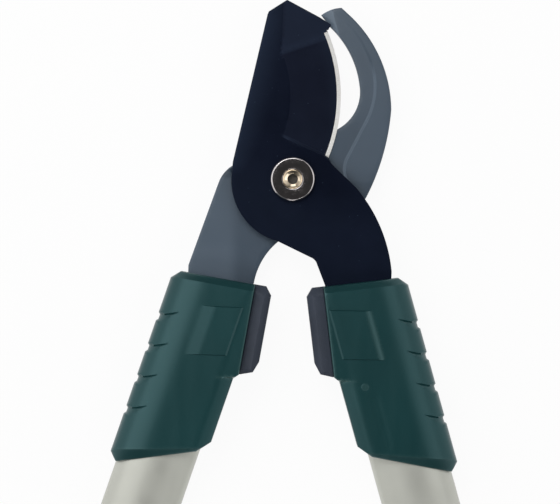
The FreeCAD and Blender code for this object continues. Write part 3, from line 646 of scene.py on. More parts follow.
FINISHES = {
    "blade_coating": BLADE_COATING,
    # Painted sheen: the same coating in a second, warmer tone over the hollow grind, for how the sloped
    # grind takes the light.
    "ground_coating": BLADE_COATING._replace(shade="ground"),
    # Bright ground steel with fine grinding lines across the edge.
    "ground_edge": Look(
        shade="edge", tones=(0.9, 1.06), cloud=(120, 3, 0.5), gloss=GRINDING_LINES,
        roughness=(0.26, 0.4), grain=GRINDING_LINES, relief=0.005, shader=(("Metallic", 0.3),),
    ),
    # Slate grey coating over forged steel, with a paler slate laid over it as painted light, which leaves
    # painted shade beside the blade.
    "hook_coating": Look(
        shade="hook", tones=(0.9, 1.1), cloud=(30, 4, 0.5), rubbed="rubbed_hook",
        specks=(300, 0.05, "hook", 1.5), gloss=(140, 4, 0.6), roughness=(0.38, 0.5),
        grain=(1500, 3, 0.6), relief=0.01, shader=(("Specular IOR Level", 0.5),),
    ),
    # Semi-matt moulded plastic with faint flow marks, and a paler green laid over it as painted
    # highlights.
    "moulded_green": Look(
        shade="collar", tones=(0.88, 1.12), cloud=(22, 4, 0.5), rubbed="rubbed_collar",
        specks=(170, 0.035, "collar", 3.0), gloss=FLOW_MARKS, roughness=(0.31, 0.35),
        grain=(1900, 2, 0.5), relief=0.008,
        shader=(("Specular IOR Level", 0.8), ("Specular Tint", (0.55, 0.95, 1.0, 1.0))),
    ),
    # Matt rubber with a fine moulded grain and a little dust.
    "soft_rubber": Look(
        shade="rubber", tones=(0.85, 1.15), cloud=(45, 4, 0.55), specks=(420, 0.09, "rubber", 1.5),
        gloss=(200, 3, 0.5), roughness=(0.55, 0.7), grain=(2400, 3, 0.65), relief=0.03,
        shader=(("Specular IOR Level", 0.4),),
    ),
    # Satin lacquered alloy.
    "satin_tube": Look(
        shade="tube", tones=(0.95, 1.04), cloud=(18, 3, 0.5), gloss=(80, 3, 0.5), roughness=(0.34, 0.44),
        grain=(1400, 3, 0.6), relief=0.006, shader=(("Metallic", 0.45), ("Specular IOR Level", 0.5)),
    ),
    # Mirror finish with faint scratches.
    "polished_chrome": Look(
        shade="chrome", tones=(0.94, 1.04), cloud=(160, 3, 0.5), gloss=(500, 4, 0.6), gloss_end=0.75,
        roughness=(0.05, 0.14), grain=(900, 2, 0.5), relief=0.002, shader=METAL,
    ),
    # Bright warm plating on the screw.
    "plated_screw": Look(
        shade="screw", tones=(0.9, 1.06), cloud=(260, 3, 0.5), gloss=(700, 4, 0.6), gloss_end=0.75,
        roughness=(0.12, 0.24), grain=(1200, 2, 0.5), relief=0.003, shader=METAL,
    ),
    # Painted shade: the screw's plating darkened to between a twentieth and a twelfth inside its socket,
    # where the hole lies in shadow.
    "socket_steel": Look(
        shade="screw", tones=(0.05, 0.085), cloud=(900, 3, 0.5), gloss=(700, 3, 0.5),
        roughness=(0.45, 0.6), grain=(1500, 2, 0.5), relief=0.01, shader=(("Specular IOR Level", 0.4),),
    ),
    # Zinc plated steel, a little cloudy.
    "plain_steel": Look(
        shade="steel", tones=(0.85, 1.12), cloud=(150, 4, 0.6), gloss=(400, 4, 0.6),
        roughness=(0.28, 0.42), grain=(1300, 3, 0.6), relief=0.006, shader=METAL,
    ),
    # Pale moulded nylon.
    "pale_nylon": Look(
        shade="nylon", tones=(0.93, 1.04), cloud=(60, 3, 0.5), gloss=(300, 3, 0.5),
        roughness=(0.4, 0.55), grain=(1500, 2, 0.5), relief=0.01, shader=(("Specular IOR Level", 0.5),),
    ),
}


def toned(shade, factor):
    return tuple(min(1.0, level * factor) for level in shade)


def finish(name):
    """The material of that name, made the first time that it is asked for."""
    if name in bpy.data.materials:
        return bpy.data.materials[name]
    look, colours = FINISHES[name], bpy.context.scene.lopper_colours
    made = Finish(name, look.shader)
    shade = getattr(colours, look.shade)
    cloud = made.graded(made.noise(*look.cloud), look.cloud_start, NOISE_HIGH)
    mix = made.over(toned(shade, look.tones[0]), cloud, toned(shade, look.tones[1]))
    # Painted light: a lighter colour laid where the mesh's painted light attribute says.
    if look.rubbed:
        mask = made.add("ShaderNodeAttribute", attribute_name="rub")
        mix = made.over(mix, mask, getattr(colours, look.rubbed), "Fac")
    if look.specks:
        scale, size, speck_shade, tone = look.specks
        mix = made.over(mix, made.spots(scale, size), toned(getattr(colours, speck_shade), tone))
    made.set_colour(mix)
    gloss = made.graded(made.noise(*look.gloss), NOISE_LOW, look.gloss_end, *look.roughness)
    made.join(gloss, 0, made.shader, "Roughness")
    made.raise_by(made.noise(*look.grain), look.relief)
    return made.material


def dress(piece, body, slot, finishes, *nodes):
    """Gives a piece its finishes and its body, and hides the imported nodes that it stands for; slot is
    not used.
    """
    for name in finishes:
        piece.data.materials.append(finish(name))
    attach(piece, body)
    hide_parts(*nodes)


def dress_handle(handle, ending, mesh, sharp, slot, name, node):
    """Makes a piece of one mesh on one handle, and dresses it."""
    side_name, body, side = handle
    piece = make_piece(side_name + ending, *mesh, handle_place(side), sharp)
    dress(piece, body, slot, [name], side_name + node)


def refinish(node, name):
    """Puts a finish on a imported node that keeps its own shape."""
    piece = frame["nodes"][node]
    if not piece.material_slots:
        piece.data.materials.append(None)
    for slot in piece.material_slots:
        slot.material = finish(name)


# ---------------------------------------------------------------- jaws

PIN_STATIONS, PIN_RADIUS = (90.0, 118.0), 2.52
BLADE_BORE, HOOK_BORE = 6.05, 6.02
TANG_HALF, TANG_END, TANG_CORNER = 13.66, 134.0, 6.0


def tang(side):
    """Steps of a jaw's outline down its tang: outer shoulder, round the tail, inner shoulder."""
    outer, inner = HANDLE_OFFSET + TANG_HALF, HANDLE_OFFSET - TANG_HALF
    cut = TANG_CORNER * (1 - math.sqrt(0.5))
    sides_end = TANG_END - TANG_CORNER

    def placed(step):
        if isinstance(step[0], tuple):
            return tuple(placed(place) for place in step)
        x, y = about_pivot(*step)
        return (side * x, y)

    steps = (
        (35.3, 57.6), (34.2, 61.0), (34.2, 66.0), (outer, 70.0), (outer, sides_end),
        ((outer - cut, TANG_END - cut), (outer - TANG_CORNER, TANG_END)), (inner + TANG_CORNER, TANG_END),
        ((inner + cut, TANG_END - cut), (inner, sides_end)), (inner, 70.0), (1.4, 66.0), (1.4, 55.0),
    )
    return [placed(step) for step in steps]


def jaw_loops(outline, side, bore):
    """A jaw's outline with its pivot hole and its pin holes."""
    pins = []
    for station in PIN_STATIONS:
        x, y = about_pivot(HANDLE_OFFSET, station)
        pins.append(circle(PIN_RADIUS, 20, side * x, y))
    return [outline, circle(bore, 64)] + pins


BLADE_TOP = 4.0
GRIND_CENTRE = (-58.5, 40.0)
GRIND_RADIUS, BEVEL_RADIUS, EDGE_RADIUS = 56.1, 79.3, 81.3
BEVEL_START, EDGE_LAND, HOLLOW_SAG = 1.5, 0.2, 0.25
EDGE_TOP, EDGE_MIDDLE, EDGE_FOOT = 75.0, 42.0, 11.3
FACET_X, FACET_SLOPE = -7.5, math.tan(math.radians(6.5))
SPINE = ((-30.1, 7.8), (-15.1, 81.8))
CROWN_WIDTH, CROWN_DROP = 10.0, 0.16
SHOULDER = ((-12.0, 23.3), (16.1, 11.4), (19.1, 8.2), (30.0, 8.2))
SHOULDER_WIDTH = 1.4
# Lines given as a place on them and their slope: both ends of the bright strip, the tip facet.
STRIP_TOP = ((13.4, 73.46), 0.69)
STRIP_LOW = ((15.97, 12.41), -0.553)
FACET_BORDER = ((-6.4, 62.6), 0.373)
# Pairs of heights, or of distances from a line, between which a form fades in.
CROWN_FADE, SHOULDER_FADE, FACET_FADE = (-2.0, 26.0), (20.0, 30.0), (-1.0, 0.6)
# How much painted light each part of the blade gets, and where that fades in: painted sheen down the spine
# and over the lower body, painted highlights on the tip facet and its border, the shoulder's ramp, the
# lower grind and the bevel's border, and a flat amount on the back.
SPINE_LIGHT, BODY_LIGHT, FACET_LIGHT, BORDER_LIGHT = 0.17, 0.065, 0.13, 0.06
SHOULDER_LIGHT, BEVEL_LIGHT, LOW_LIGHT, BACK_LIGHT = 0.15, 0.05, 0.04, 0.05
SPINE_LIGHT_WIDTH, SPINE_LIGHT_POWER, BEVEL_LIGHT_WIDTH = 13.0, 1.3, 7.0
SPINE_LIGHT_FADE, BODY_LIGHT_FADE, LOW_LIGHT_FADE = (-30, 10), (26, -8), (50, 20)
FACET_LIGHT_FADE, BORDER_LIGHT_FADE, SHOULDER_LIGHT_FADE = (-0.8, 0.6), (5.0, 0.6), (-7.0, -4.0)
# The lower border of the body's painted sheen leans up from this x, by this much at most.
BODY_LEAN_FROM, BODY_LEAN_MOST = -13, 20
# Over the one height everything right of the facet's start is ground; the bevel's border gets painted
# light over the other.
ALL_GROUND, GRIND_FOOT = 60, 20
# Over these heights a corner, or the middle of a face, belongs to the front.
FRONT_CORNER, FRONT_MIDDLE = 0.1, 0.05
# The edge's own rounding, how near to its circle counts as the edge, and the share of its
# thickness that a thin part is rounded by.
EDGE_SOFTENING, EDGE_NEAR, THIN_SOFTENING = 0.08, 0.3, 0.4


def from_grind(x, y):
    """Distance from the centre of the hollow grind."""
    return np.hypot(x - GRIND_CENTRE[0], y - GRIND_CENTRE[1])


def edge_place(radius, y):
    """The place on a circle about the grind's centre at a height y."""
    return (GRIND_CENTRE[0] + math.sqrt(radius ** 2 - (y - GRIND_CENTRE[1]) ** 2), y)


def grind_arc(radius, low, high, step=1.0):
    """Line along a circle about the grind's centre, between two heights."""
    count = math.ceil((high - low) / step)
    return [edge_place(radius, low + (high - low) * n / count) for n in range(count + 1)]


def above_line(x, y, line):
    """How far a place lies above a line given as a place on it and its slope."""
    (x0, y0), slope = line
    return y - y0 - (x - x0) * slope


def blade_outline():
    tail = tang(1)
    return traced(
        *SPINE, (-14.5, 83.3), (-5.5, 89.4), (11.4, 81.1),
        (16.6, 78.0), (16.8, 77.3), (15.9, 76.2), (15.6, 75.3),
        edge_place(EDGE_RADIUS, EDGE_TOP),
        (edge_place(EDGE_RADIUS, EDGE_MIDDLE), edge_place(EDGE_RADIUS, EDGE_FOOT)),
        (19.1, 8.3), (31.6, -3.0), ((44.0, -21.3), tail[0]), *tail[1:],
        (13.6, -42.3), ((12.3, -40.0), (10.0, -38.6)), (-6.4, -31.2), ((-28.0, -13.0), (-30.4, 2.8)),
    )


def grind_height(radius):
    """Height of the hollow grind, by the distance from its centre."""
    share = (radius - GRIND_RADIUS) / (BEVEL_RADIUS - GRIND_RADIUS)
    hollow = BLADE_TOP - (BLADE_TOP - BEVEL_START) * share - HOLLOW_SAG * 4 * share * (1 - share)
    return np.clip(np.where(radius < GRIND_RADIUS, BLADE_TOP, hollow), EDGE_LAND, BLADE_TOP)


def blade_front(x, y):
    """Height of the blade's front: crowned spine, hollow grind, bevel and tip facet."""
    radius = from_grind(x, y)
    crown = np.clip(1 + away_from_line(x, y, SPINE) / CROWN_WIDTH, 0, 1)
    crown = CROWN_DROP * crown * crown * smooth_step(*CROWN_FADE, y)
    facet = BLADE_TOP - np.maximum(0, x - FACET_X) * FACET_SLOPE
    in_facet = smooth_step(*FACET_FADE, above_line(x, y, FACET_BORDER))
    hollow = grind_height(np.minimum(radius, BEVEL_RADIUS))
    ground = hollow + (facet - hollow) * in_facet
    bevel_share = np.clip((radius - BEVEL_RADIUS) / (EDGE_RADIUS - BEVEL_RADIUS), 0, 1)
    bevel = ground + (EDGE_LAND - ground) * bevel_share
    ground = np.where((radius > BEVEL_RADIUS) & (above_line(x, y, STRIP_TOP) < 0), bevel, ground)
    share = smooth_step(0.0, SHOULDER_WIDTH, away_from_line(x, y, SHOULDER))
    share = np.where(x < SHOULDER[0][0], smooth_step(*SHOULDER_FADE, y), share)
    return BLADE_TOP - crown + (np.clip(ground, EDGE_LAND, BLADE_TOP) - BLADE_TOP) * share


def blade_painted_light(x, y, z):
    """Painted light on the blade, as sheen and highlights: its spine, body, tip facet, shoulder, lower
    grind and bevel.
    """
    radius = from_grind(x, y)
    spine = np.clip(1 + away_from_line(x, y, SPINE) / SPINE_LIGHT_WIDTH, 0, 1) ** SPINE_LIGHT_POWER
    body = smooth_step(*BODY_LIGHT_FADE, y + np.clip(x - BODY_LEAN_FROM, 0, BODY_LEAN_MOST))
    above = above_line(x, y, FACET_BORDER)
    facet = FACET_LIGHT + BORDER_LIGHT * smooth_step(*BORDER_LIGHT_FADE, above)
    shoulder = away_from_line(x, y, SHOULDER)
    in_grind = shoulder > 0.1
    slope = in_grind & (shoulder < SHOULDER_WIDTH + 0.1)
    bevel = smooth_step(BEVEL_RADIUS - BEVEL_LIGHT_WIDTH, BEVEL_RADIUS, radius)
    amounts = (
        spine * smooth_step(*SPINE_LIGHT_FADE, y) * SPINE_LIGHT,
        body * BODY_LIGHT,
        facet * smooth_step(*FACET_LIGHT_FADE, above) * (x > FACET_X),
        slope * smooth_step(*SHOULDER_LIGHT_FADE, x) * SHOULDER_LIGHT,
        bevel * (y > GRIND_FOOT) * BEVEL_LIGHT,
        smooth_step(*LOW_LIGHT_FADE, y) * (radius > GRIND_RADIUS) * in_grind * LOW_LIGHT,
    )
    return np.where(z > FRONT_CORNER, np.max(amounts, axis=0), BACK_LIGHT)


class LOPPERS_OT_cutting_blade(bpy.types.Operator):
    """Builds the cutting blade with its hollow grind, tip facet and bright edge"""

    bl_idname = "loppers.cutting_blade"
    bl_label = "Cutting blade"

    def execute(self, context):
        soft = context.scene.lopper_sizes.blade_softening / MM

        def softening(points):
            x, y = points.T
            on_edge = (np.abs(from_grind(x, y) - EDGE_RADIUS) < EDGE_NEAR) & (y > 9) & (y < EDGE_TOP)
            size = np.minimum(soft, blade_front(x, y) * THIN_SOFTENING)
            size = np.where(on_edge, EDGE_SOFTENING, size)
            return size, size

        shoulder = traced(*SHOULDER, step=0.8, closed=False)
        lines = [
            # Borders of the hollow grind and of the bevel, then both ends of the bright strip.
            grind_arc(GRIND_RADIUS, 20.9, 71.0),
            grind_arc(BEVEL_RADIUS, 10.0, 73.5, 0.8),
            line_to((13.4, 73.46), (15.0, 74.56), 0.4),
            line_to((13.4, 73.71), (15.0, 74.81), 0.4),
            line_to((15.6, 12.61), (18.6, 10.96), 0.4),
            # Both sides of the tip facet's lower border, and its start beside the spine.
            line_to((FACET_X, 62.2), (16.0, 71.0), 0.8),
            line_to((FACET_X, 61.2), (16.0, 70.0), 0.8),
            line_to((FACET_X, 70.0), (FACET_X, 86.9), 1.0),
            shoulder,
        ]
        lines += [beside(shoulder, gap) for gap in (0.2, SHOULDER_WIDTH, SHOULDER_WIDTH + 0.4)]
        loops = jaw_loops(blade_outline(), 1, BLADE_BORE)
        corners, faces = relief(loops, blade_front, level_at(0.0), softening, lines, spacing=1.5)
        piece = make_piece("blade", corners, faces, jaw_place, sharp=20.0)
        finishes = ["blade_coating", "ground_coating", "ground_edge"]
        dress(piece, "blade_side", "black_steel", finishes, "cutting_blade")
        # Painted light: sheen and highlights laid over the blade's spine, body, facet and grind.
        rub(piece, corners, blade_painted_light)
        places = np.array(corners)
        for face in piece.data.polygons:
            x, y, z = places[list(face.vertices)].mean(0)
            if z < FRONT_MIDDLE:
                continue
            radius = from_grind(x, y)
            on_strip = above_line(x, y, STRIP_TOP) < 0 < above_line(x, y, STRIP_LOW)
            ground = (radius > GRIND_RADIUS or y > ALL_GROUND) and x > FACET_X
            if BEVEL_RADIUS < radius < EDGE_RADIUS + 0.1 and on_strip:
                face.material_index = finishes.index("ground_edge")
            # Painted sheen: faces of the hollow grind take the second tone of the coating.
            elif ground and away_from_line(x, y, SHOULDER)[0] > 0.3:
                face.material_index = finishes.index("ground_coating")
        return {"FINISHED"}


HOOK_TOP, HOOK_BACK = -0.4, -6.4
LAND_RADIUS = 25.8
# The back of the hook is an arc that ends at a height.
BACK_CENTRE, BACK_RADIUS, BACK_END = (-16.0, 33.9), 64.4, 62.0
RIDGE = (
    (21.5, 81.2), ((28.6, 74.2), (34.5, 65.0)), ((39.2, 46.0), (35.0, 29.5)), (27.0, 13.0),
    ((25.3, 8.0), (25.9, 1.8)),
)
FACET_LINE = ((17.7, 86.6), (18.3, 82.6), (20.0, 77.0), (21.6, 72.4), (23.0, 68.0))
# The bevelled tip: where the land reaches its height, the bevel's slope, width and start, and where its
# painted highlight starts.
TIP_HEIGHT, TIP_FALL, TIP_REACH, TIP_START, TIP_LIGHT_START = 87.0, 0.36, 9, 66, 60
# The sides get painted light like the front down to this height.
SIDE_LEVEL = -5.0
# Over this height the slope follows the ridge, and left of this x it lies flat.
RIDGE_FOOT, RIDGE_LEFT = 4, 15
# How much painted light each part of the hook gets, and where that fades in: painted highlights on the
# ridge's crest and the tip facet, and the plain faces and the tail lightened away from the blade, which
# leaves painted shade on the hook beside it.
HOOK_LIGHT, TAIL_LIGHT, TAIL_END_LIGHT, TIP_LIGHT, CREST_LIGHT = 0.11, 0.13, 0.07, 0.43, 0.38
OUTER_FADE, INNER_FADE, CREST_FADE = (-12, 10), (16, 52), (66, 50)
TAIL_FADE, TAIL_END_FADE, TIP_FADE, CREST_SIDES = (-24, -32), (-30, -40), (0.0, -0.5), (0.85, 0.5)


def hook_outline():
    back_end = BACK_CENTRE[0] + math.sqrt(BACK_RADIUS ** 2 - (BACK_END - BACK_CENTRE[1]) ** 2)
    return traced(
        (16.5, 76.9), ((27.9, 61.8), (32.4, 45.8)), ((29.2, 33.1), (22.3, 26.2)), (13.5, 20.7),
        ((-8.0, 17.4), (-30.3, 6.0)), ((-35.0, 1.4), (-37.1, -3.0)), *tang(-1),
        ((-8.6, -33.6), (14.0, -22.8)), ((27.8, -18.2), (37.4, -7.3)), ((45.0, 14.0), (48.3, 36.5)),
        ((back_end, BACK_END), (25.4, 83.5)), (21.8, 86.6), ((16.4, 85.4), (11.8, 82.8)),
    )


class LOPPERS_OT_hook_jaw(bpy.types.Operator):
    """Builds the hooked jaw with its ridge and its bevelled tip"""

    bl_idname = "loppers.hook_jaw"
    bl_label = "Hooked jaw"

    def execute(self, context):
        sizes = context.scene.lopper_sizes
        ridge_width = sizes.ridge_width / MM
        ridge = traced(*RIDGE, step=1.0, closed=False)
        facet = traced(*FACET_LINE, step=1.0, closed=False)

        def front(x, y):
            outside_land = np.hypot(x, y) - LAND_RADIUS
            outside = np.minimum(away_from_line(x, y, ridge), outside_land)
            outside = np.where(y > RIDGE_FOOT, outside, outside_land)
            flat = (y > RIDGE_FOOT) & (x < RIDGE_LEFT)
            outside = np.where(flat, np.minimum(outside, 0), outside)
            low = np.clip((TIP_HEIGHT - y) / TIP_HEIGHT, 0.0, 1.0) * smooth_step(0.0, ridge_width, outside)
            beyond = np.clip(-away_from_line(x, y, facet), 0, TIP_REACH) * (y > TIP_START)
            return HOOK_TOP - low - beyond * TIP_FALL

        lines = [beside(ridge, ridge_width * share) for share in (-0.4, 0.0, 0.5, 1.0, 1.4)]
        lines += [facet, beside(facet, -0.5)]
        lines += [circle(LAND_RADIUS, 160), circle(LAND_RADIUS + ridge_width, 160)]
        loops = jaw_loops(hook_outline(), -1, HOOK_BORE)
        softening = evenly(sizes.hook_softening / MM)
        corners, faces = relief(loops, front, level_at(HOOK_BACK), softening, lines, spacing=1.6)
        piece = make_piece("hook", corners, faces, jaw_place, sharp=28.0)
        dress(piece, "hook_side", "grey_steel", ["hook_coating"], "hook_jaw")

        # Painted light and shade: highlights on the crest and tip facet, and faces lightened away from the
        # blade, so that the parts beside it stay darker as painted shade.
        def painted_lighting(x, y, z):
            outside = away_from_line(x, y, ridge)
            beyond_ridge = (outside > 0) & (y > 0)
            plain = np.where(beyond_ridge, smooth_step(*OUTER_FADE, y), smooth_step(*INNER_FADE, y))
            tail = TAIL_LIGHT + TAIL_END_LIGHT * smooth_step(*TAIL_END_FADE, y)
            tail = tail * smooth_step(*TAIL_FADE, x) * (y < 0)
            tip = smooth_step(*TIP_FADE, away_from_line(x, y, facet)) * (y > TIP_LIGHT_START) * TIP_LIGHT
            crest = smooth_step(*CREST_SIDES, np.abs(outside / ridge_width - 0.5))
            crest = crest * smooth_step(*CREST_FADE, y) * (x > RIDGE_LEFT) * (y > 0) * CREST_LIGHT
            most = np.max((plain * HOOK_LIGHT, tail, tip, crest), axis=0)
            return np.where(z > SIDE_LEVEL, most, HOOK_LIGHT)

        rub(piece, corners, painted_lighting)
        return {"FINISHED"}


# ---------------------------------------------------------------- pivot

DISC_PROFILE = (
    (3.1, 4.3), (11.0, 4.3), (11.0, 6.55), (10.35, 7.3), (5.1, 7.3), (5.1, 5.5), (3.1, 5.5),
)
DISC_ROUNDING = 0.2
SCREW_TOP = 8.5
SOCKET_MOUTH, SOCKET_HALF, SOCKET_FLOOR = 2.62, 2.22, 5.0
SCREW_PROFILE = (
    (0.0, -5.5), (2.4, -5.5), (3.0, -4.9), (3.0, 5.5), (4.85, 5.5), (4.85, 7.3), (4.78, 7.44),
    (4.62, 7.5), (4.45, 7.42), (4.36, 7.5), (4.25, 7.64), (3.9, 7.86), (3.5, 8.08), (3.1, 8.28),
    (SOCKET_MOUTH + 0.1, 8.46), (SOCKET_MOUTH, SCREW_TOP), (SOCKET_MOUTH - 0.02, 8.38),
)
# The hexagon down the socket: its share of the full width, and its depth below the top.
SOCKET_STEPS = ((1.0, 0.45), (1.0, 2.3), (0.0, 2.9))
SIXTH = math.pi / 3


def screw_mesh(count=96):
    """Screw with a rounded head and a hexagon socket."""
    rings = [turned_ring(radius, height, count) for radius, height in SCREW_PROFILE]
    for share, depth in SOCKET_STEPS:

        def hexagon(turn, share=share):
            return share * SOCKET_HALF / math.cos((turn + SIXTH / 2) % SIXTH - SIXTH / 2)

        rings.append(turned_ring(hexagon, SCREW_TOP - depth, count))
    return skinned(rings, False)


class LOPPERS_OT_pivot(bpy.types.Operator):
    """Builds the polished disc and the screw of the pivot, and gives the washers their finishes"""

    bl_idname = "loppers.pivot"
    bl_label = "Pivot"

    def execute(self, context):
        disc = lathed(rounded(DISC_PROFILE, DISC_ROUNDING, 3), 128)
        piece = make_piece("pivot_disc", *disc, jaw_place, sharp=50)
        dress(piece, "hook_side", "polished_steel", ["polished_chrome"], "front_disc")
        piece = make_piece("pivot_bolt", *screw_mesh(), jaw_place, sharp=35)
        finishes = ["plated_screw", "socket_steel"]
        dress(piece, "hook_side", "polished_steel", finishes, "pivot_screw")
        # Painted shade: the faces down the socket take the darkened plating.
        for face in piece.data.polygons:
            place = (face.center - PIVOT) / MM
            if place.xy.length < SOCKET_MOUTH + 0.02 and place.z > SOCKET_FLOOR:
                face.material_index = finishes.index("socket_steel")
        for node in ("pivot_barrel", "rear_washer", "spring_washer"):
            refinish(node, "plain_steel")
        refinish("bearing_washer", "pale_nylon")
        return {"FINISHED"}


# ---------------------------------------------------------------- collars and bumpers

# Both ends of the block by the bumper, along the bumper's face, and the corner of its lower boss.
BLOCK_START, BLOCK_FOOT, BOSS_DEPTH = 55.0, 100.3, 8.9
BLOCK_END, BLOCK_LEAN, BLOCK_LEAN_FROM = (101.95, 102.65), 0.17, 12.0
BLOCK_DEPTH, BLOCK_SINK = 19.5, 0.15
COLLAR_INNER, COLLAR_OUTER = -4.5, 41.5
TOP_CHAMFER = 4.0
COLLAR_TOP_LINE = (on_face(BLOCK_START, BOSS_DEPTH), on_face(BLOCK_START, 50.0))
COLLAR_END_LINE = ((1.1, 143.5), (37.5, 161.7))
TOP_BAND, BAND_SLOPE = 3.4, 0.8
END_BAND, END_BAND_GROWTH, END_BAND_MOST = 1.0, 5.5, 7.0
NOTCH_FIRST, NOTCH_PITCH, NOTCH_COUNT = 84.5, 16.4, 4
NOTCH_LENGTH, NOTCH_RISE, NOTCH_OPENING = 11.6, 4.8, 4.3
NOTCH_WALL, NOTCH_LEVEL, NOTCH_DEEPENING = 0.5, 2.6, 2.4
NOTCH_TOPS = [NOTCH_FIRST + NOTCH_PITCH * number for number in range(NOTCH_COUNT)]
# How a notch shows in the outline, as (outwards, along from its top).
NOTCH_DENTS = ((COLLAR_OUTER, 0.0), (40.9, 0.4), (40.5, 1.0), (40.55, 3.2), (COLLAR_OUTER, NOTCH_OPENING))
ROLL_START, ROLL_WIDTH, ROLL_DROP, ROLL_POWER = 19.5, 22.0, 8.0, 3.0
INNER_START, INNER_WIDTH, INNER_DROP, INNER_POWER = 3.2, 7.7, 2.9, 1.9
# Each pad's inner and outer bevel as the place of its foot and its slope.
PAD_BEVELS = {"left": ((2.2, 0.7), (21.8, 0.1)), "right": ((-0.3, 0.7), (19.7, 0.31))}
PAD_RISE, PAD_ENDS, PAD_END_WIDTH, PAD_SLANT = 0.65, (67.5, 93.0), 0.4, 0.299
# The right collar's moulding marks: a round gate mark, and a shallow crease along it.
GATE_MARK, GATE_RADIUS, GATE_RIM, GATE_HEIGHT = (7.0, 109.1), 1.9, 0.2, 0.12
CREASE_U, CREASE_ENDS, CREASE_FADE, CREASE_WIDTH, CREASE_DEPTH = 10.6, (112.0, 144.0), 4.0, 2.6, 0.26
# The painted highlight streak on the right collar's pad lies between these distances out.
STREAK = (17.55, 19.75)
# How much painted light the collars get, and where that fades in: painted highlights along the rim by the
# bumper, the block's end, the end band's border and the pad's streak, and a lighter gate mark.
BUMPER_LIGHT, BUMPER_LIGHT_FADE, BUMPER_LIGHT_END = 0.1, (9.9, 9.3), 101
BLOCK_LIGHT, BLOCK_LIGHT_GROWTH, BLOCK_LIGHT_FADE, STEP_LIGHT_FADE = 0.08, 0.24, (19.0, 12.0), (0.4, 0.3)
BAND_LIGHT, BAND_LIGHT_FADE, GATE_LIGHT, STREAK_LIGHT = 0.05, (0.4, 0.0), 0.08, 0.07
# Where the softer outer side of a collar fades in, and what it adds to the rounding.
OUTER_SIDE, OUTER_TOP, OUTER_END = (38.5, 40.5), (60.0, 68.0), (162.0, 154.0)
OUTER_EXTRA = (1.6, 2.6)
# The bore for the tube, and the mouth that the jaw's tang passes through.
BORE_STATIONS = (71.9, 120.0, 170.0)
MOUTH_SIDES, MOUTH_ENDS = (1.3, 34.3), (40.0, 73.0)
MOUTH_HEIGHTS = {"left": (-5.3, -0.1), "right": (1.1, 5.3)}
MOUTH_FACES = ((0, 1, 3, 2), (4, 6, 7, 5), (0, 4, 5, 1), (2, 3, 7, 6), (0, 2, 6, 4), (1, 5, 7, 3))


def collar_outline():
    """Outline of a collar seen from the front, with the notches in its outer side."""
    depth = (COLLAR_OUTER + BLOCK_START * math.sin(BUMPER_ANGLE)) / math.cos(BUMPER_ANGLE)
    boss_end = on_face(BLOCK_FOOT, BOSS_DEPTH)
    corner_along = on_face(BLOCK_START, depth)[1]
    return traced(
        on_face(BLOCK_START, BOSS_DEPTH),
        on_face(BLOCK_START, depth - TOP_CHAMFER),
        (COLLAR_OUTER, corner_along + TOP_CHAMFER),
        *((u, top + down) for top in NOTCH_TOPS for u, down in NOTCH_DENTS),
        (COLLAR_OUTER, 157.7),
        COLLAR_END_LINE[1],
        COLLAR_END_LINE[0],
        (COLLAR_INNER, 136.7),
        (COLLAR_INNER, boss_end[1] + 2.8),
        boss_end,
        step=0.8,
    )


def past_block(along_face, depth):
    """Distance of a place past the square end of the block."""
    return along_face - BLOCK_LEAN * (depth - BLOCK_LEAN_FROM)


def collar_base(u, v):
    """Half height of a collar: flat face, rolled sides and the squarer block by the bumper."""
    over = np.clip(u - ROLL_START, 0, ROLL_WIDTH) / ROLL_WIDTH
    under = np.clip(INNER_START - u, 0, INNER_WIDTH) / INNER_WIDTH
    height = FACE - ROLL_DROP * over ** ROLL_POWER - INNER_DROP * under ** INNER_POWER
    along_face, depth = from_face(u, v)
    block = smooth_step(BLOCK_END[1], BLOCK_END[0], past_block(along_face, depth)) * (depth < BLOCK_DEPTH)
    return height + (np.maximum(height, FACE - BLOCK_SINK) - height) * block


def notch_cut(u, v, depth):
    """Depth of the wedge notches, which grow outwards from their inner tips."""
    cut = np.zeros_like(u)
    reach = np.clip((u - COLLAR_OUTER + NOTCH_LENGTH) / NOTCH_LENGTH, 0, 1)
    rise = NOTCH_RISE * np.clip(1 - reach * NOTCH_LENGTH / (NOTCH_LENGTH - NOTCH_LEVEL), 0, 1)
    for top in NOTCH_TOPS:
        first = top - rise
        last = first + NOTCH_OPENING * reach
        floor = np.clip((last - v) / np.maximum(last - first, 0.1), 0, 1)
        within = smooth_step(0.0, NOTCH_WALL, v - first) * floor
        cut = np.maximum(cut, within * depth * np.clip(reach * NOTCH_DEEPENING, 0, 1))
    return cut


def pad_rise(u, v, bevels):
    """Height of the blank pad between its flat inner and outer bevels."""
    slant = v - u * PAD_SLANT
    (inner, inner_slope), (outer, outer_slope) = bevels
    low, high = PAD_ENDS
    rise = PAD_RISE * np.clip(np.minimum(slant - low, high - slant) / PAD_END_WIDTH, 0, 1)
    rise = np.minimum(rise, (u - inner) * inner_slope)
    return np.maximum(np.minimum(rise, (outer - u) * outer_slope), 0.0)


def from_gate(u, v):
    """Distance from the middle of the gate mark."""
    return np.hypot(u - GATE_MARK[0], v - GATE_MARK[1])


def moulding_marks(u, v):
    """Height of the gate mark, and depth of the crease as a negative height."""
    start, end = CREASE_ENDS
    fold = np.clip(1 - np.abs(u - CREASE_U) / CREASE_WIDTH, 0, 1)
    fold = fold * smooth_step(start, start + CREASE_FADE, v) * smooth_step(end, end - CREASE_FADE, v)
    gate = smooth_step(GATE_RADIUS, GATE_RADIUS - GATE_RIM, from_gate(u, v))
    return GATE_HEIGHT * gate - CREASE_DEPTH * fold


def end_band_width(u):
    share = np.clip((u - COLLAR_INNER) / (COLLAR_OUTER - COLLAR_INNER), 0, 1)
    return END_BAND + END_BAND_GROWTH * share


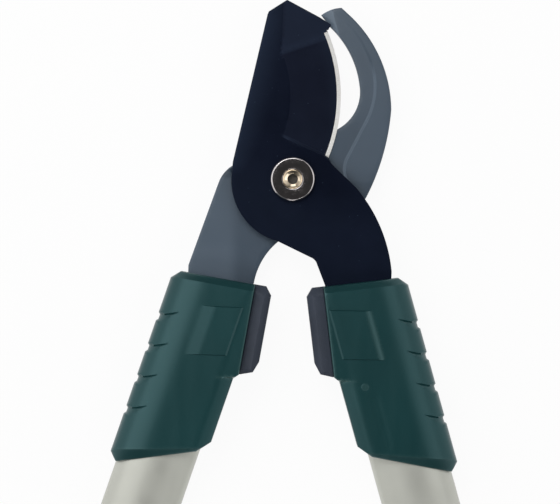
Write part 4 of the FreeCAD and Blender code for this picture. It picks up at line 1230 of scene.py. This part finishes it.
def above_end(u, v):
    """Distance from a collar's lower end."""
    (u0, v0), (u1, v1) = COLLAR_END_LINE
    slope = (v1 - v0) / (u1 - u0)
    return (v0 + (u - u0) * slope - v) / math.hypot(1, slope)


def collar_height(u, v, notch_depth):
    """Half height of a collar with its notches and with the bevels at both its ends."""
    top = np.clip(TOP_BAND - away_from_line(u, v, COLLAR_TOP_LINE), 0, TOP_BAND)
    end = np.clip(end_band_width(u) - above_end(u, v), 0, END_BAND_MOST)
    return collar_base(u, v) - notch_cut(u, v, notch_depth) - BAND_SLOPE * (top + end)


def notch_lines():
    """Lines along the walls and the floors of the notches."""
    lines = []
    bend = COLLAR_OUTER - NOTCH_LEVEL
    for top in NOTCH_TOPS:
        tip = (COLLAR_OUTER - NOTCH_LENGTH, top - NOTCH_RISE)
        for shift in (0.0, NOTCH_WALL):
            lines.append(straight((tip[0], tip[1] + shift), (bend, top + shift), 0.7))
            lines.append(straight((bend + 0.2, top + shift), (COLLAR_OUTER, top + shift), 0.5))
        foot = (bend, top + NOTCH_OPENING * (1 - NOTCH_LEVEL / NOTCH_LENGTH))
        places = ((tip[0] + 0.9, tip[1] + 0.8), foot, (COLLAR_OUTER, top + NOTCH_OPENING))
        lines.append(traced(*places, step=0.8, closed=False))
    return lines


def band_lines():
    """Lines along the inner roll, both bands and the end of the block."""
    ends = []
    for u in (-3.2, 40.6):
        ends.append((u, float(above_end(u, 0.0) - end_band_width(u)) * math.hypot(1, 0.5)))
    lines = [
        straight((INNER_START, 62.0), (INNER_START, 141.0)),
        traced(*beside(COLLAR_TOP_LINE, TOP_BAND), closed=False),
        straight(*ends),
    ]
    for along in (BLOCK_END[0], sum(BLOCK_END) / 2, BLOCK_END[1]):
        lines.append(straight(on_face(along, 12.0), on_face(along + 1.28, BLOCK_DEPTH), 0.7))
    return lines


def pad_lines(bevels):
    """Foot, crest and hips of a blank pad."""
    (inner, inner_slope), (outer, outer_slope) = bevels
    crest_sides = (inner + PAD_RISE / inner_slope, outer - PAD_RISE / outer_slope)
    lines, ends = [], []
    for end, inwards in zip(PAD_ENDS, (PAD_END_WIDTH, -PAD_END_WIDTH)):
        foot = [(u, end + u * PAD_SLANT) for u in (inner, outer)]
        crest = [(u, end + inwards + u * PAD_SLANT) for u in crest_sides]
        lines += [straight(*foot), straight(*crest)]
        lines += [straight(low, high, 0.6) for low, high in zip(foot, crest)]
        ends.append(foot + crest)
    return lines + [straight(low, high) for low, high in zip(*ends)]


def mark_lines():
    """Rims of the gate mark, and the bottom of the crease."""
    rims = [circle(radius, 28, *GATE_MARK) for radius in (GATE_RADIUS, GATE_RADIUS - GATE_RIM)]
    return rims + [straight(*((CREASE_U, v) for v in CREASE_ENDS))]


def collar_painted_light(u, v, marked):
    """Painted light on a collar: highlights by the bumper, at the block's end, at the end band, at the
    marks.
    """
    along_face, depth = from_face(u, v)
    step = np.abs(past_block(along_face, depth) - sum(BLOCK_END) / 2)
    fading = BLOCK_LIGHT + BLOCK_LIGHT_GROWTH * smooth_step(*BLOCK_LIGHT_FADE, depth)
    border = np.abs(end_band_width(u) - above_end(u, v))
    amounts = [
        smooth_step(*BUMPER_LIGHT_FADE, depth) * (v < BUMPER_LIGHT_END) * BUMPER_LIGHT,
        smooth_step(*STEP_LIGHT_FADE, step) * (depth < BLOCK_DEPTH) * fading,
        smooth_step(*BAND_LIGHT_FADE, border) * BAND_LIGHT,
    ]
    if marked:
        slant = v - u * PAD_SLANT
        streak = (u > STREAK[0]) & (u < STREAK[1])
        streak = streak & (slant > PAD_ENDS[0] + 0.1) & (slant < PAD_ENDS[1] - 0.1)
        gate = smooth_step(GATE_RADIUS + 0.05, GATE_RADIUS - 0.15, from_gate(u, v))
        amounts += [gate * GATE_LIGHT, streak * STREAK_LIGHT]
    return np.max(amounts, axis=0)


class LOPPERS_OT_collars(bpy.types.Operator):
    """Builds both moulded collars, with bands, block, notches, blank pad and hollow ends"""

    bl_idname = "loppers.collars"
    bl_label = "Collars"

    def execute(self, context):
        sizes = context.scene.lopper_sizes
        soft = sizes.collar_softening / MM
        notch_depth = sizes.notch_depth / MM

        def back(u, v):
            return -collar_height(u, v, notch_depth)

        def softening(points):
            u, v = points.T
            outer = smooth_step(*OUTER_SIDE, u) * smooth_step(*OUTER_TOP, v) * smooth_step(*OUTER_END, v)
            return tuple(soft + extra * outer for extra in OUTER_EXTRA)

        bore = lofted([(along, *BORE_HALF) for along in BORE_STATIONS], 128)
        for name, body, side in SIDES:
            marked = name == "right"

            def front(u, v, marked=marked, bevels=PAD_BEVELS[name]):
                height = collar_height(u, v, notch_depth) + pad_rise(u, v, bevels)
                return height + moulding_marks(u, v) if marked else height

            # Painted highlights, on the front half only.
            def painted_lighting(u, v, height, marked=marked):
                return np.where(height > 5, collar_painted_light(u, v, marked), 0.0)

            lines = notch_lines() + pad_lines(PAD_BEVELS[name]) + band_lines()
            lines += mark_lines() if marked else []
            back_lines = notch_lines() + band_lines()
            corners, faces = relief([collar_outline()], front, back, softening, lines, back_lines)
            place = handle_place(side)
            piece = make_piece(name + "_moulded_collar", corners, faces, place, 24.0)
            rub(piece, corners, painted_lighting)
            mouth = [(u, v, z) for v in MOUTH_ENDS for u in MOUTH_SIDES for z in MOUTH_HEIGHTS[name]]
            cut_from(piece, make_piece("bore_cutter", *bore, place), 24.0)
            cut_from(piece, make_piece("mouth_cutter", mouth, MOUTH_FACES, place), 24.0)
            dress(piece, body, "green_plastic", ["moulded_green"], name + "_collar")
        return {"FINISHED"}


BUMPER_FACE, BUMPER_TOP = 0.15, 11.0
# Places of the bumper's outline, as (along its face, depth in from it).
BUMPER_PLACES = (
    (BLOCK_START, BOSS_DEPTH), (BLOCK_START, 3.35), (59.2, BUMPER_FACE), (92.5, BUMPER_FACE),
    (98.1, 2.35), (BLOCK_FOOT, 8.35), (BLOCK_FOOT, BOSS_DEPTH),
)
# Lines where its front and its ends begin to roll, in the same terms, with their steps.
BUMPER_LINES = (
    ((56.0, 3.55), (99.6, 3.55), 1.0),
    ((59.4, 1.0), (59.4, 8.6), 0.9),
    ((97.1, 2.0), (97.1, 8.6), 0.9),
)
FRONT_ROLL, FRONT_ROLL_POWER, FRONT_ROLL_DROP = 3.4, 1.3, 0.62
REAR_DROP, END_SLOPE = 0.9, 0.75
END_WIDTHS = (4.4, 3.2)


class LOPPERS_OT_bumpers(bpy.types.Operator):
    """Builds both rubber bumpers"""

    bl_idname = "loppers.bumpers"
    bl_label = "Bumpers"

    def execute(self, context):
        outline = traced(*(on_face(*place) for place in BUMPER_PLACES), step=1.0)
        lines = [straight(on_face(*start), on_face(*end), step) for start, end, step in BUMPER_LINES]

        def front(u, v):
            along_face, depth = from_face(u, v)
            roll = np.clip(FRONT_ROLL - (depth - BUMPER_FACE), 0, FRONT_ROLL) ** FRONT_ROLL_POWER
            height = BUMPER_TOP - roll * FRONT_ROLL_DROP - REAR_DROP * smooth_step(3.2, 8.7, depth)
            for width, inwards in zip(END_WIDTHS, (along_face - BLOCK_START, BLOCK_FOOT - along_face)):
                height = np.minimum(height, BUMPER_TOP - np.clip(width - inwards, 0, width) * END_SLOPE)
            return height

        def back(u, v):
            return -front(u, v)

        softening = evenly(context.scene.lopper_sizes.bumper_softening / MM)
        bumper = relief([outline], front, back, softening, lines, lines, spacing=1.1)
        for handle in SIDES:
            dress_handle(handle, "_rubber_bumper", bumper, 24.0, "grey_rubber", "soft_rubber", "_bumper")
        return {"FINISHED"}


# ---------------------------------------------------------------- tubes and grips

TUBE_START, TUBE_LENGTH, TUBE_WALL, TUBE_STEPS = 72.0, 526.0, 1.5, 27
RING_START, RING_END, CORE_END = 414.0, 423.0, 600.0
RING_MOUTH, RING_HALF, CORE_HALF = (20.9, 12.4), (23.54, FACE), (20.7, 12.7)
# The ring narrows a little between these places; the radii of both its rims.
RING_WAIST, RING_NARROWING, RING_ROUNDINGS = (418.4, 421.4), 0.25, (1.6, 1.2)
SLEEVE_START, SLEEVE_STEPS, SLEEVE_RIM = 423.1, 236, 0.9
SLEEVE_HALF, SLEEVE_BORE = (23.1, 14.8), (20.8, 12.8)
# How the sleeve swells in the palm: share of its length, share of the swelling.
SWELLING, SWELLS = 2.2, ((0.0, 0.0), (0.25, 0.35), (0.6, 1.0), (0.85, 0.5), (1.0, 0.9))
SWELL_OFFSETS = (-0.06, -0.03, 0.03, 0.06)
# The ribs are counted from one place, fade in and out, and have narrow grooves.
RIBS_FROM, RIBS_IN, RIBS_OUT, GROOVE_SHARE = 443.0, (440.0, 446.0), (586.0, 580.0), 0.22
CAP_START, CAP_END, CAP_HALF, CAP_CORNER, CAP_DOME = 600.1, 622.1, (25.07, FACE), 0.9, 5.0
CAP_STATIONS, CAP_END_INSETS = (605.0, 611.0, 615.0), (6.0, 9.0)
PLUG_START, PLUG_HALF, PLUG_CHAMFER = 572.0, (17.4, 9.4), 0.4
HOLE_ALONG = 611.1
HOLE_PROFILE = (
    (0.0, -17.0), (6.6, -17.0), (5.2, -14.2), (4.5, -13.2), (4.0, -12.0),
    (4.0, 12.0), (4.5, 13.2), (5.2, 14.2), (6.6, 17.0), (0.0, 17.0),
)


def oval(along, half, inset=0.0):
    return (along, half[0] - inset, half[1] - inset)


def rounded_rim(end, radius, half, steps=4):
    """Ovals from an end face round its rim to the full size; a radius below 0 closes a piece."""
    rim = []
    for level in range(steps + 1):
        turn = level / steps * math.pi / 2
        rim.append(oval(end + radius * (1 - math.cos(turn)), half, abs(radius) * (1 - math.sin(turn))))
    return rim if radius > 0 else rim[::-1]


def ring_stations():
    """The guard ring and the hard core under the sleeve, outside and then back along the inside."""
    lower_half = tuple(half - RING_NARROWING for half in RING_HALF)
    stations = [oval(RING_START, RING_MOUTH)] + rounded_rim(RING_START, RING_ROUNDINGS[0], RING_HALF)
    stations += [oval(RING_WAIST[0], RING_HALF), oval(RING_WAIST[1], lower_half)]
    stations += rounded_rim(RING_END, -RING_ROUNDINGS[1], lower_half)
    stations += [oval(RING_END, CORE_HALF), oval(CORE_END, CORE_HALF)]
    return stations + [oval(CORE_END, BORE_HALF), oval(RING_START, BORE_HALF)]


def sleeve_stations(pitch, depth):
    """The soft sleeve: swollen in the palm, with rounded ribs between shallow grooves."""
    shares, swells = zip(*SWELLS)
    stations = []
    for number in range(SLEEVE_STEPS + 1):
        share = number / SLEEVE_STEPS
        along = SLEEVE_START + (CORE_END - SLEEVE_START) * share
        near = sum(float(np.interp(share + offset, shares, swells)) for offset in SWELL_OFFSETS) / 4
        swell = (float(np.interp(share, shares, swells)) + near) / 2
        ribbed = float(smooth_step(*RIBS_IN, along) * smooth_step(*RIBS_OUT, along))
        phase = ((along - RIBS_FROM) / pitch) % 1.0
        groove = max(0.0, 1 - abs(phase - 0.5) / GROOVE_SHARE)
        groove = groove * groove * (3 - 2 * groove) * depth * ribbed
        rim = max(0.0, 1.0 - min(along - SLEEVE_START, CORE_END - along))
        rim = SLEEVE_RIM * (1 - math.sqrt(1 - rim * rim))
        wide, high = SLEEVE_HALF
        stations.append(oval(along, (wide + SWELLING * swell, high), groove + rim))
    return stations + [oval(CORE_END, SLEEVE_BORE), oval(SLEEVE_START, SLEEVE_BORE)]


def cap_stations():
    """The end cap with its plug inside the tube and its rounded end."""
    stations = [oval(PLUG_START, PLUG_HALF, PLUG_CHAMFER)]
    stations += [oval(along, PLUG_HALF) for along in (PLUG_START + PLUG_CHAMFER, CAP_START)]
    stations += rounded_rim(CAP_START, CAP_CORNER, CAP_HALF)
    stations += [oval(along, CAP_HALF) for along in CAP_STATIONS]
    stations += rounded_rim(CAP_END, -CAP_DOME, CAP_HALF, 10)
    return stations + [oval(CAP_END, CAP_HALF, inset) for inset in CAP_END_INSETS]


class LOPPERS_OT_tubes(bpy.types.Operator):
    """Builds both handle tubes"""

    bl_idname = "loppers.tubes"
    bl_label = "Handle tubes"

    def execute(self, context):
        alongs = [TUBE_START + TUBE_LENGTH * step / TUBE_STEPS for step in range(TUBE_STEPS + 1)]
        stations = [oval(along, TUBE_HALF) for along in alongs]
        stations += [oval(along, TUBE_HALF, TUBE_WALL) for along in alongs[::-1]]
        tube = lofted(stations, 128, hollow=True)
        for handle in SIDES:
            dress_handle(handle, "_tube", tube, 40.0, "tube_alloy", "satin_tube", "_handle_tube")
        return {"FINISHED"}


class LOPPERS_OT_grips(bpy.types.Operator):
    """Builds the rings, the ribbed sleeves and the end caps of both grips"""

    bl_idname = "loppers.grips"
    bl_label = "Grips"

    def execute(self, context):
        sizes = context.scene.lopper_sizes
        ring = lofted(ring_stations(), 128, hollow=True)
        sleeve = lofted(sleeve_stations(sizes.rib_pitch / MM, sizes.rib_depth / MM), 112, hollow=True)
        cap = lofted(cap_stations(), 112)
        cutter = lathed(HOLE_PROFILE, 64)
        ring_names = ("green_plastic", "moulded_green", "_grip_core")
        sleeve_names = ("grey_rubber", "soft_rubber", "_grip_sleeve")
        for handle in SIDES:
            dress_handle(handle, "_grip_ring", ring, 30.0, *ring_names)
            dress_handle(handle, "_ribbed_sleeve", sleeve, 40.0, *sleeve_names)
            name, body, side = handle
            place = handle_place(side)
            piece = make_piece(name + "_hanging_cap", *cap, place, 30.0)

            def at_hole(x, y, z, place=place):
                return place(HANDLE_OFFSET + x, HOLE_ALONG + y, z)

            cut_from(piece, make_piece("hole_cutter", *cutter, at_hole), 30.0)
            dress(piece, body, "green_plastic", ["moulded_green"], name + "_end_cap")
        return {"FINISHED"}


class LOPPERS_OT_hidden_parts(bpy.types.Operator):
    """Gives the inserts and the pins inside the handles their finishes"""

    bl_idname = "loppers.hidden_parts"
    bl_label = "Inserts and pins"

    def execute(self, context):
        for name, _, _ in SIDES:
            refinish(name + "_tang_insert", "pale_nylon")
            refinish(name + "_handle_pins", "plain_steel")
        return {"FINISHED"}


# ---------------------------------------------------------------- stage

# Which way is up for the dim part of the sky, and its levels from the horizon (share, level).
SKY_TOP = (0.06, 0.22, 1.0)
SKY_LEVELS = ((0.0, 1.0), (0.4, 0.85), (0.7, 0.32), (0.88, 0.08), (0.97, 0.035))
# The sky dims along y: how far, and down to what.
SKY_REACH, SKY_LEAST = 0.7, 0.12
FLOOR_REACH, FLOOR_LEVEL, FLOOR_GLOW = 6.0, -0.0005, 0.94
# Each lamp's name, place (x, y from the pivot, z), size and power.
LAMPS = (
    ("left_softbox", (-0.56, 0.18, 0.85), (0.9, 0.9), 3.3),
    ("upper_softbox", (-0.10, 0.34, 0.7), (0.4, 0.4), 1.7),
    ("lower_softbox", (0.1, -0.7, 0.7), (0.6, 0.4), 1.2),
    ("right_softbox", (0.66, 0.05, 0.8), (0.6, 0.6), 1.0),
)
LAMP_AIM = -0.05
# The camera looks straight down at a place about the pivot, and sees this width of the floor.
CAMERA_DISTANCE, CAMERA_AIM, CAMERA_TURN = 1.4, (-5.16, -36.48, 0.0), math.radians(1.8)
SENSOR_WIDTH, VIEW_WIDTH = 36.0, 0.280


def add_lamp(name, place, size, power):
    data = bpy.data.lights.new(name, "AREA")
    data.shape = "RECTANGLE"
    data.size, data.size_y = size
    data.energy = power
    lamp = new_object(name, data)
    x, y, z = place
    lamp.location = Vector((x, PIVOT.y + y, z))
    aim = Vector((PIVOT.x, PIVOT.y + LAMP_AIM, 0.0)) - lamp.location
    lamp.rotation_mode = "QUATERNION"
    lamp.rotation_quaternion = aim.to_track_quat("-Z", "Y")


def set_world(scene):
    """White all round towards the horizon and dim straight above."""
    scene.world = bpy.data.worlds.new("studio")
    sky = Wiring(scene.world)
    out = sky.add("ShaderNodeOutputWorld")
    where = sky.add("ShaderNodeTexCoord")
    upwards = Vector(SKY_TOP).normalized()
    tilt = sky.add("ShaderNodeVectorMath", [(1, upwards)], operation="DOT_PRODUCT")
    sky.join(where, "Generated", tilt, 0)
    ramp = sky.add("ShaderNodeValToRGB")
    ramp.color_ramp.interpolation = "EASE"
    elements = ramp.color_ramp.elements
    for share, _ in SKY_LEVELS[1:-1]:
        elements.new(share)
    for element, (share, level) in zip(elements, SKY_LEVELS):
        element.position = share
        element.color = (level, level, level, 1.0)
    sky.join(tilt, "Value", ramp, 0)
    parts = sky.add("ShaderNodeSeparateXYZ")
    sky.join(where, "Generated", parts, 0)
    square = sky.maths("MULTIPLY", (parts, "Y"), (parts, "Y"))
    around = sky.add("ShaderNodeBackground")
    sky.join(ramp, "Color", around, "Color")
    sky.join(sky.graded(square, 0.0, SKY_REACH, 1.0, SKY_LEAST), 0, around, "Strength")
    seen = sky.add("ShaderNodeBackground", [("Color", (1.0, 1.0, 1.0, 1.0))])
    mix = sky.add("ShaderNodeMixShader")
    sky.join(sky.add("ShaderNodeLightPath"), "Is Camera Ray", mix, 0)
    sky.join(around, 0, mix, 1)
    sky.join(seen, 0, mix, 2)
    sky.join(mix, 0, out, "Surface")


def floor_finish(shade):
    """White floor that keeps a faint shadow."""
    made = Finish("studio_floor", (("Roughness", 0.9), ("Specular IOR Level", 0.0)))
    cloud = made.graded(made.noise(3, 2, 0.5), NOISE_LOW, NOISE_HIGH)
    made.set_colour(made.over(toned(shade, 0.99), cloud, toned(shade, 1.0)))
    glow = made.add("ShaderNodeEmission")
    path = made.add("ShaderNodeLightPath")
    direct = made.maths("MAXIMUM", (path, "Is Camera Ray"), (path, "Is Glossy Ray"))
    seen = made.maths("MAXIMUM", (direct, 0), (path, "Is Transmission Ray"))
    mix = made.add("ShaderNodeMixShader")
    made.join(made.maths("MULTIPLY", (seen, 0), FLOOR_GLOW), 0, mix, 0)
    made.join(made.shader, "BSDF", mix, 1)
    made.join(glow, "Emission", mix, 2)
    made.join(mix, "Shader", made.output, "Surface")
    return made.material


class LOPPERS_OT_stage(bpy.types.Operator):
    """Sets the floor, the world, the lamps and the camera"""

    bl_idname = "loppers.stage"
    bl_label = "Stage"

    def execute(self, context):
        scene = context.scene
        scene.view_settings.view_transform = "Standard"
        set_world(scene)
        mesh = bpy.data.meshes.new("floor")
        reach = FLOOR_REACH
        ends = ((-reach, -reach), (reach, -reach), (reach, reach), (-reach, reach))
        mesh.from_pydata([(x, y, FLOOR_LEVEL) for x, y in ends], [], [(0, 1, 2, 3)])
        mesh.materials.append(floor_finish(scene.lopper_colours.floor))
        floor = new_object("floor", mesh)
        for lamp in LAMPS:
            add_lamp(*lamp)
        camera = bpy.data.cameras.new("camera")
        camera.sensor_width = SENSOR_WIDTH
        camera.lens = SENSOR_WIDTH * CAMERA_DISTANCE / VIEW_WIDTH
        eye = new_object("camera", camera)
        place = Vector(jaw_place(*CAMERA_AIM)) + Vector((0, 0, CAMERA_DISTANCE))
        eye.matrix_world = Matrix.Translation(place) @ Matrix.Rotation(CAMERA_TURN, 4, "Z")
        scene.camera = eye
        return {"FINISHED"}


# ---------------------------------------------------------------- panel and start

MAKERS = (
    LOPPERS_OT_cutting_blade, LOPPERS_OT_hook_jaw, LOPPERS_OT_pivot, LOPPERS_OT_collars,
    LOPPERS_OT_bumpers, LOPPERS_OT_tubes, LOPPERS_OT_grips, LOPPERS_OT_hidden_parts, LOPPERS_OT_stage,
)


class LOPPERS_PT_panel(bpy.types.Panel):
    """Lists the makers of the pieces with their sizes and colours"""

    bl_idname = "LOPPERS_PT_panel"
    bl_label = "Loppers"
    bl_space_type = "VIEW_3D"
    bl_region_type = "UI"
    bl_category = "Loppers"

    def draw(self, context):
        layout = self.layout
        for maker in MAKERS:
            layout.operator(maker.bl_idname)
        for group in (context.scene.lopper_sizes, context.scene.lopper_colours):
            box = layout.box()
            for name in group.__annotations__:
                box.prop(group, name)


CLASSES = (LopperSizes, LopperColours) + MAKERS + (LOPPERS_PT_panel,)


def register():
    for cls in CLASSES:
        bpy.utils.register_class(cls)
    bpy.types.Scene.lopper_sizes = PointerProperty(type=LopperSizes)
    bpy.types.Scene.lopper_colours = PointerProperty(type=LopperColours)


def unregister():
    del bpy.types.Scene.lopper_colours
    del bpy.types.Scene.lopper_sizes
    for cls in reversed(CLASSES):
        bpy.utils.unregister_class(cls)


def main():
    register()
    bpy.ops.loppers.cutting_blade()
    bpy.ops.loppers.hook_jaw()
    bpy.ops.loppers.pivot()
    bpy.ops.loppers.collars()
    bpy.ops.loppers.bumpers()
    bpy.ops.loppers.tubes()
    bpy.ops.loppers.grips()
    bpy.ops.loppers.hidden_parts()
    bpy.ops.loppers.stage()


if __name__ == "__main__":
    main()
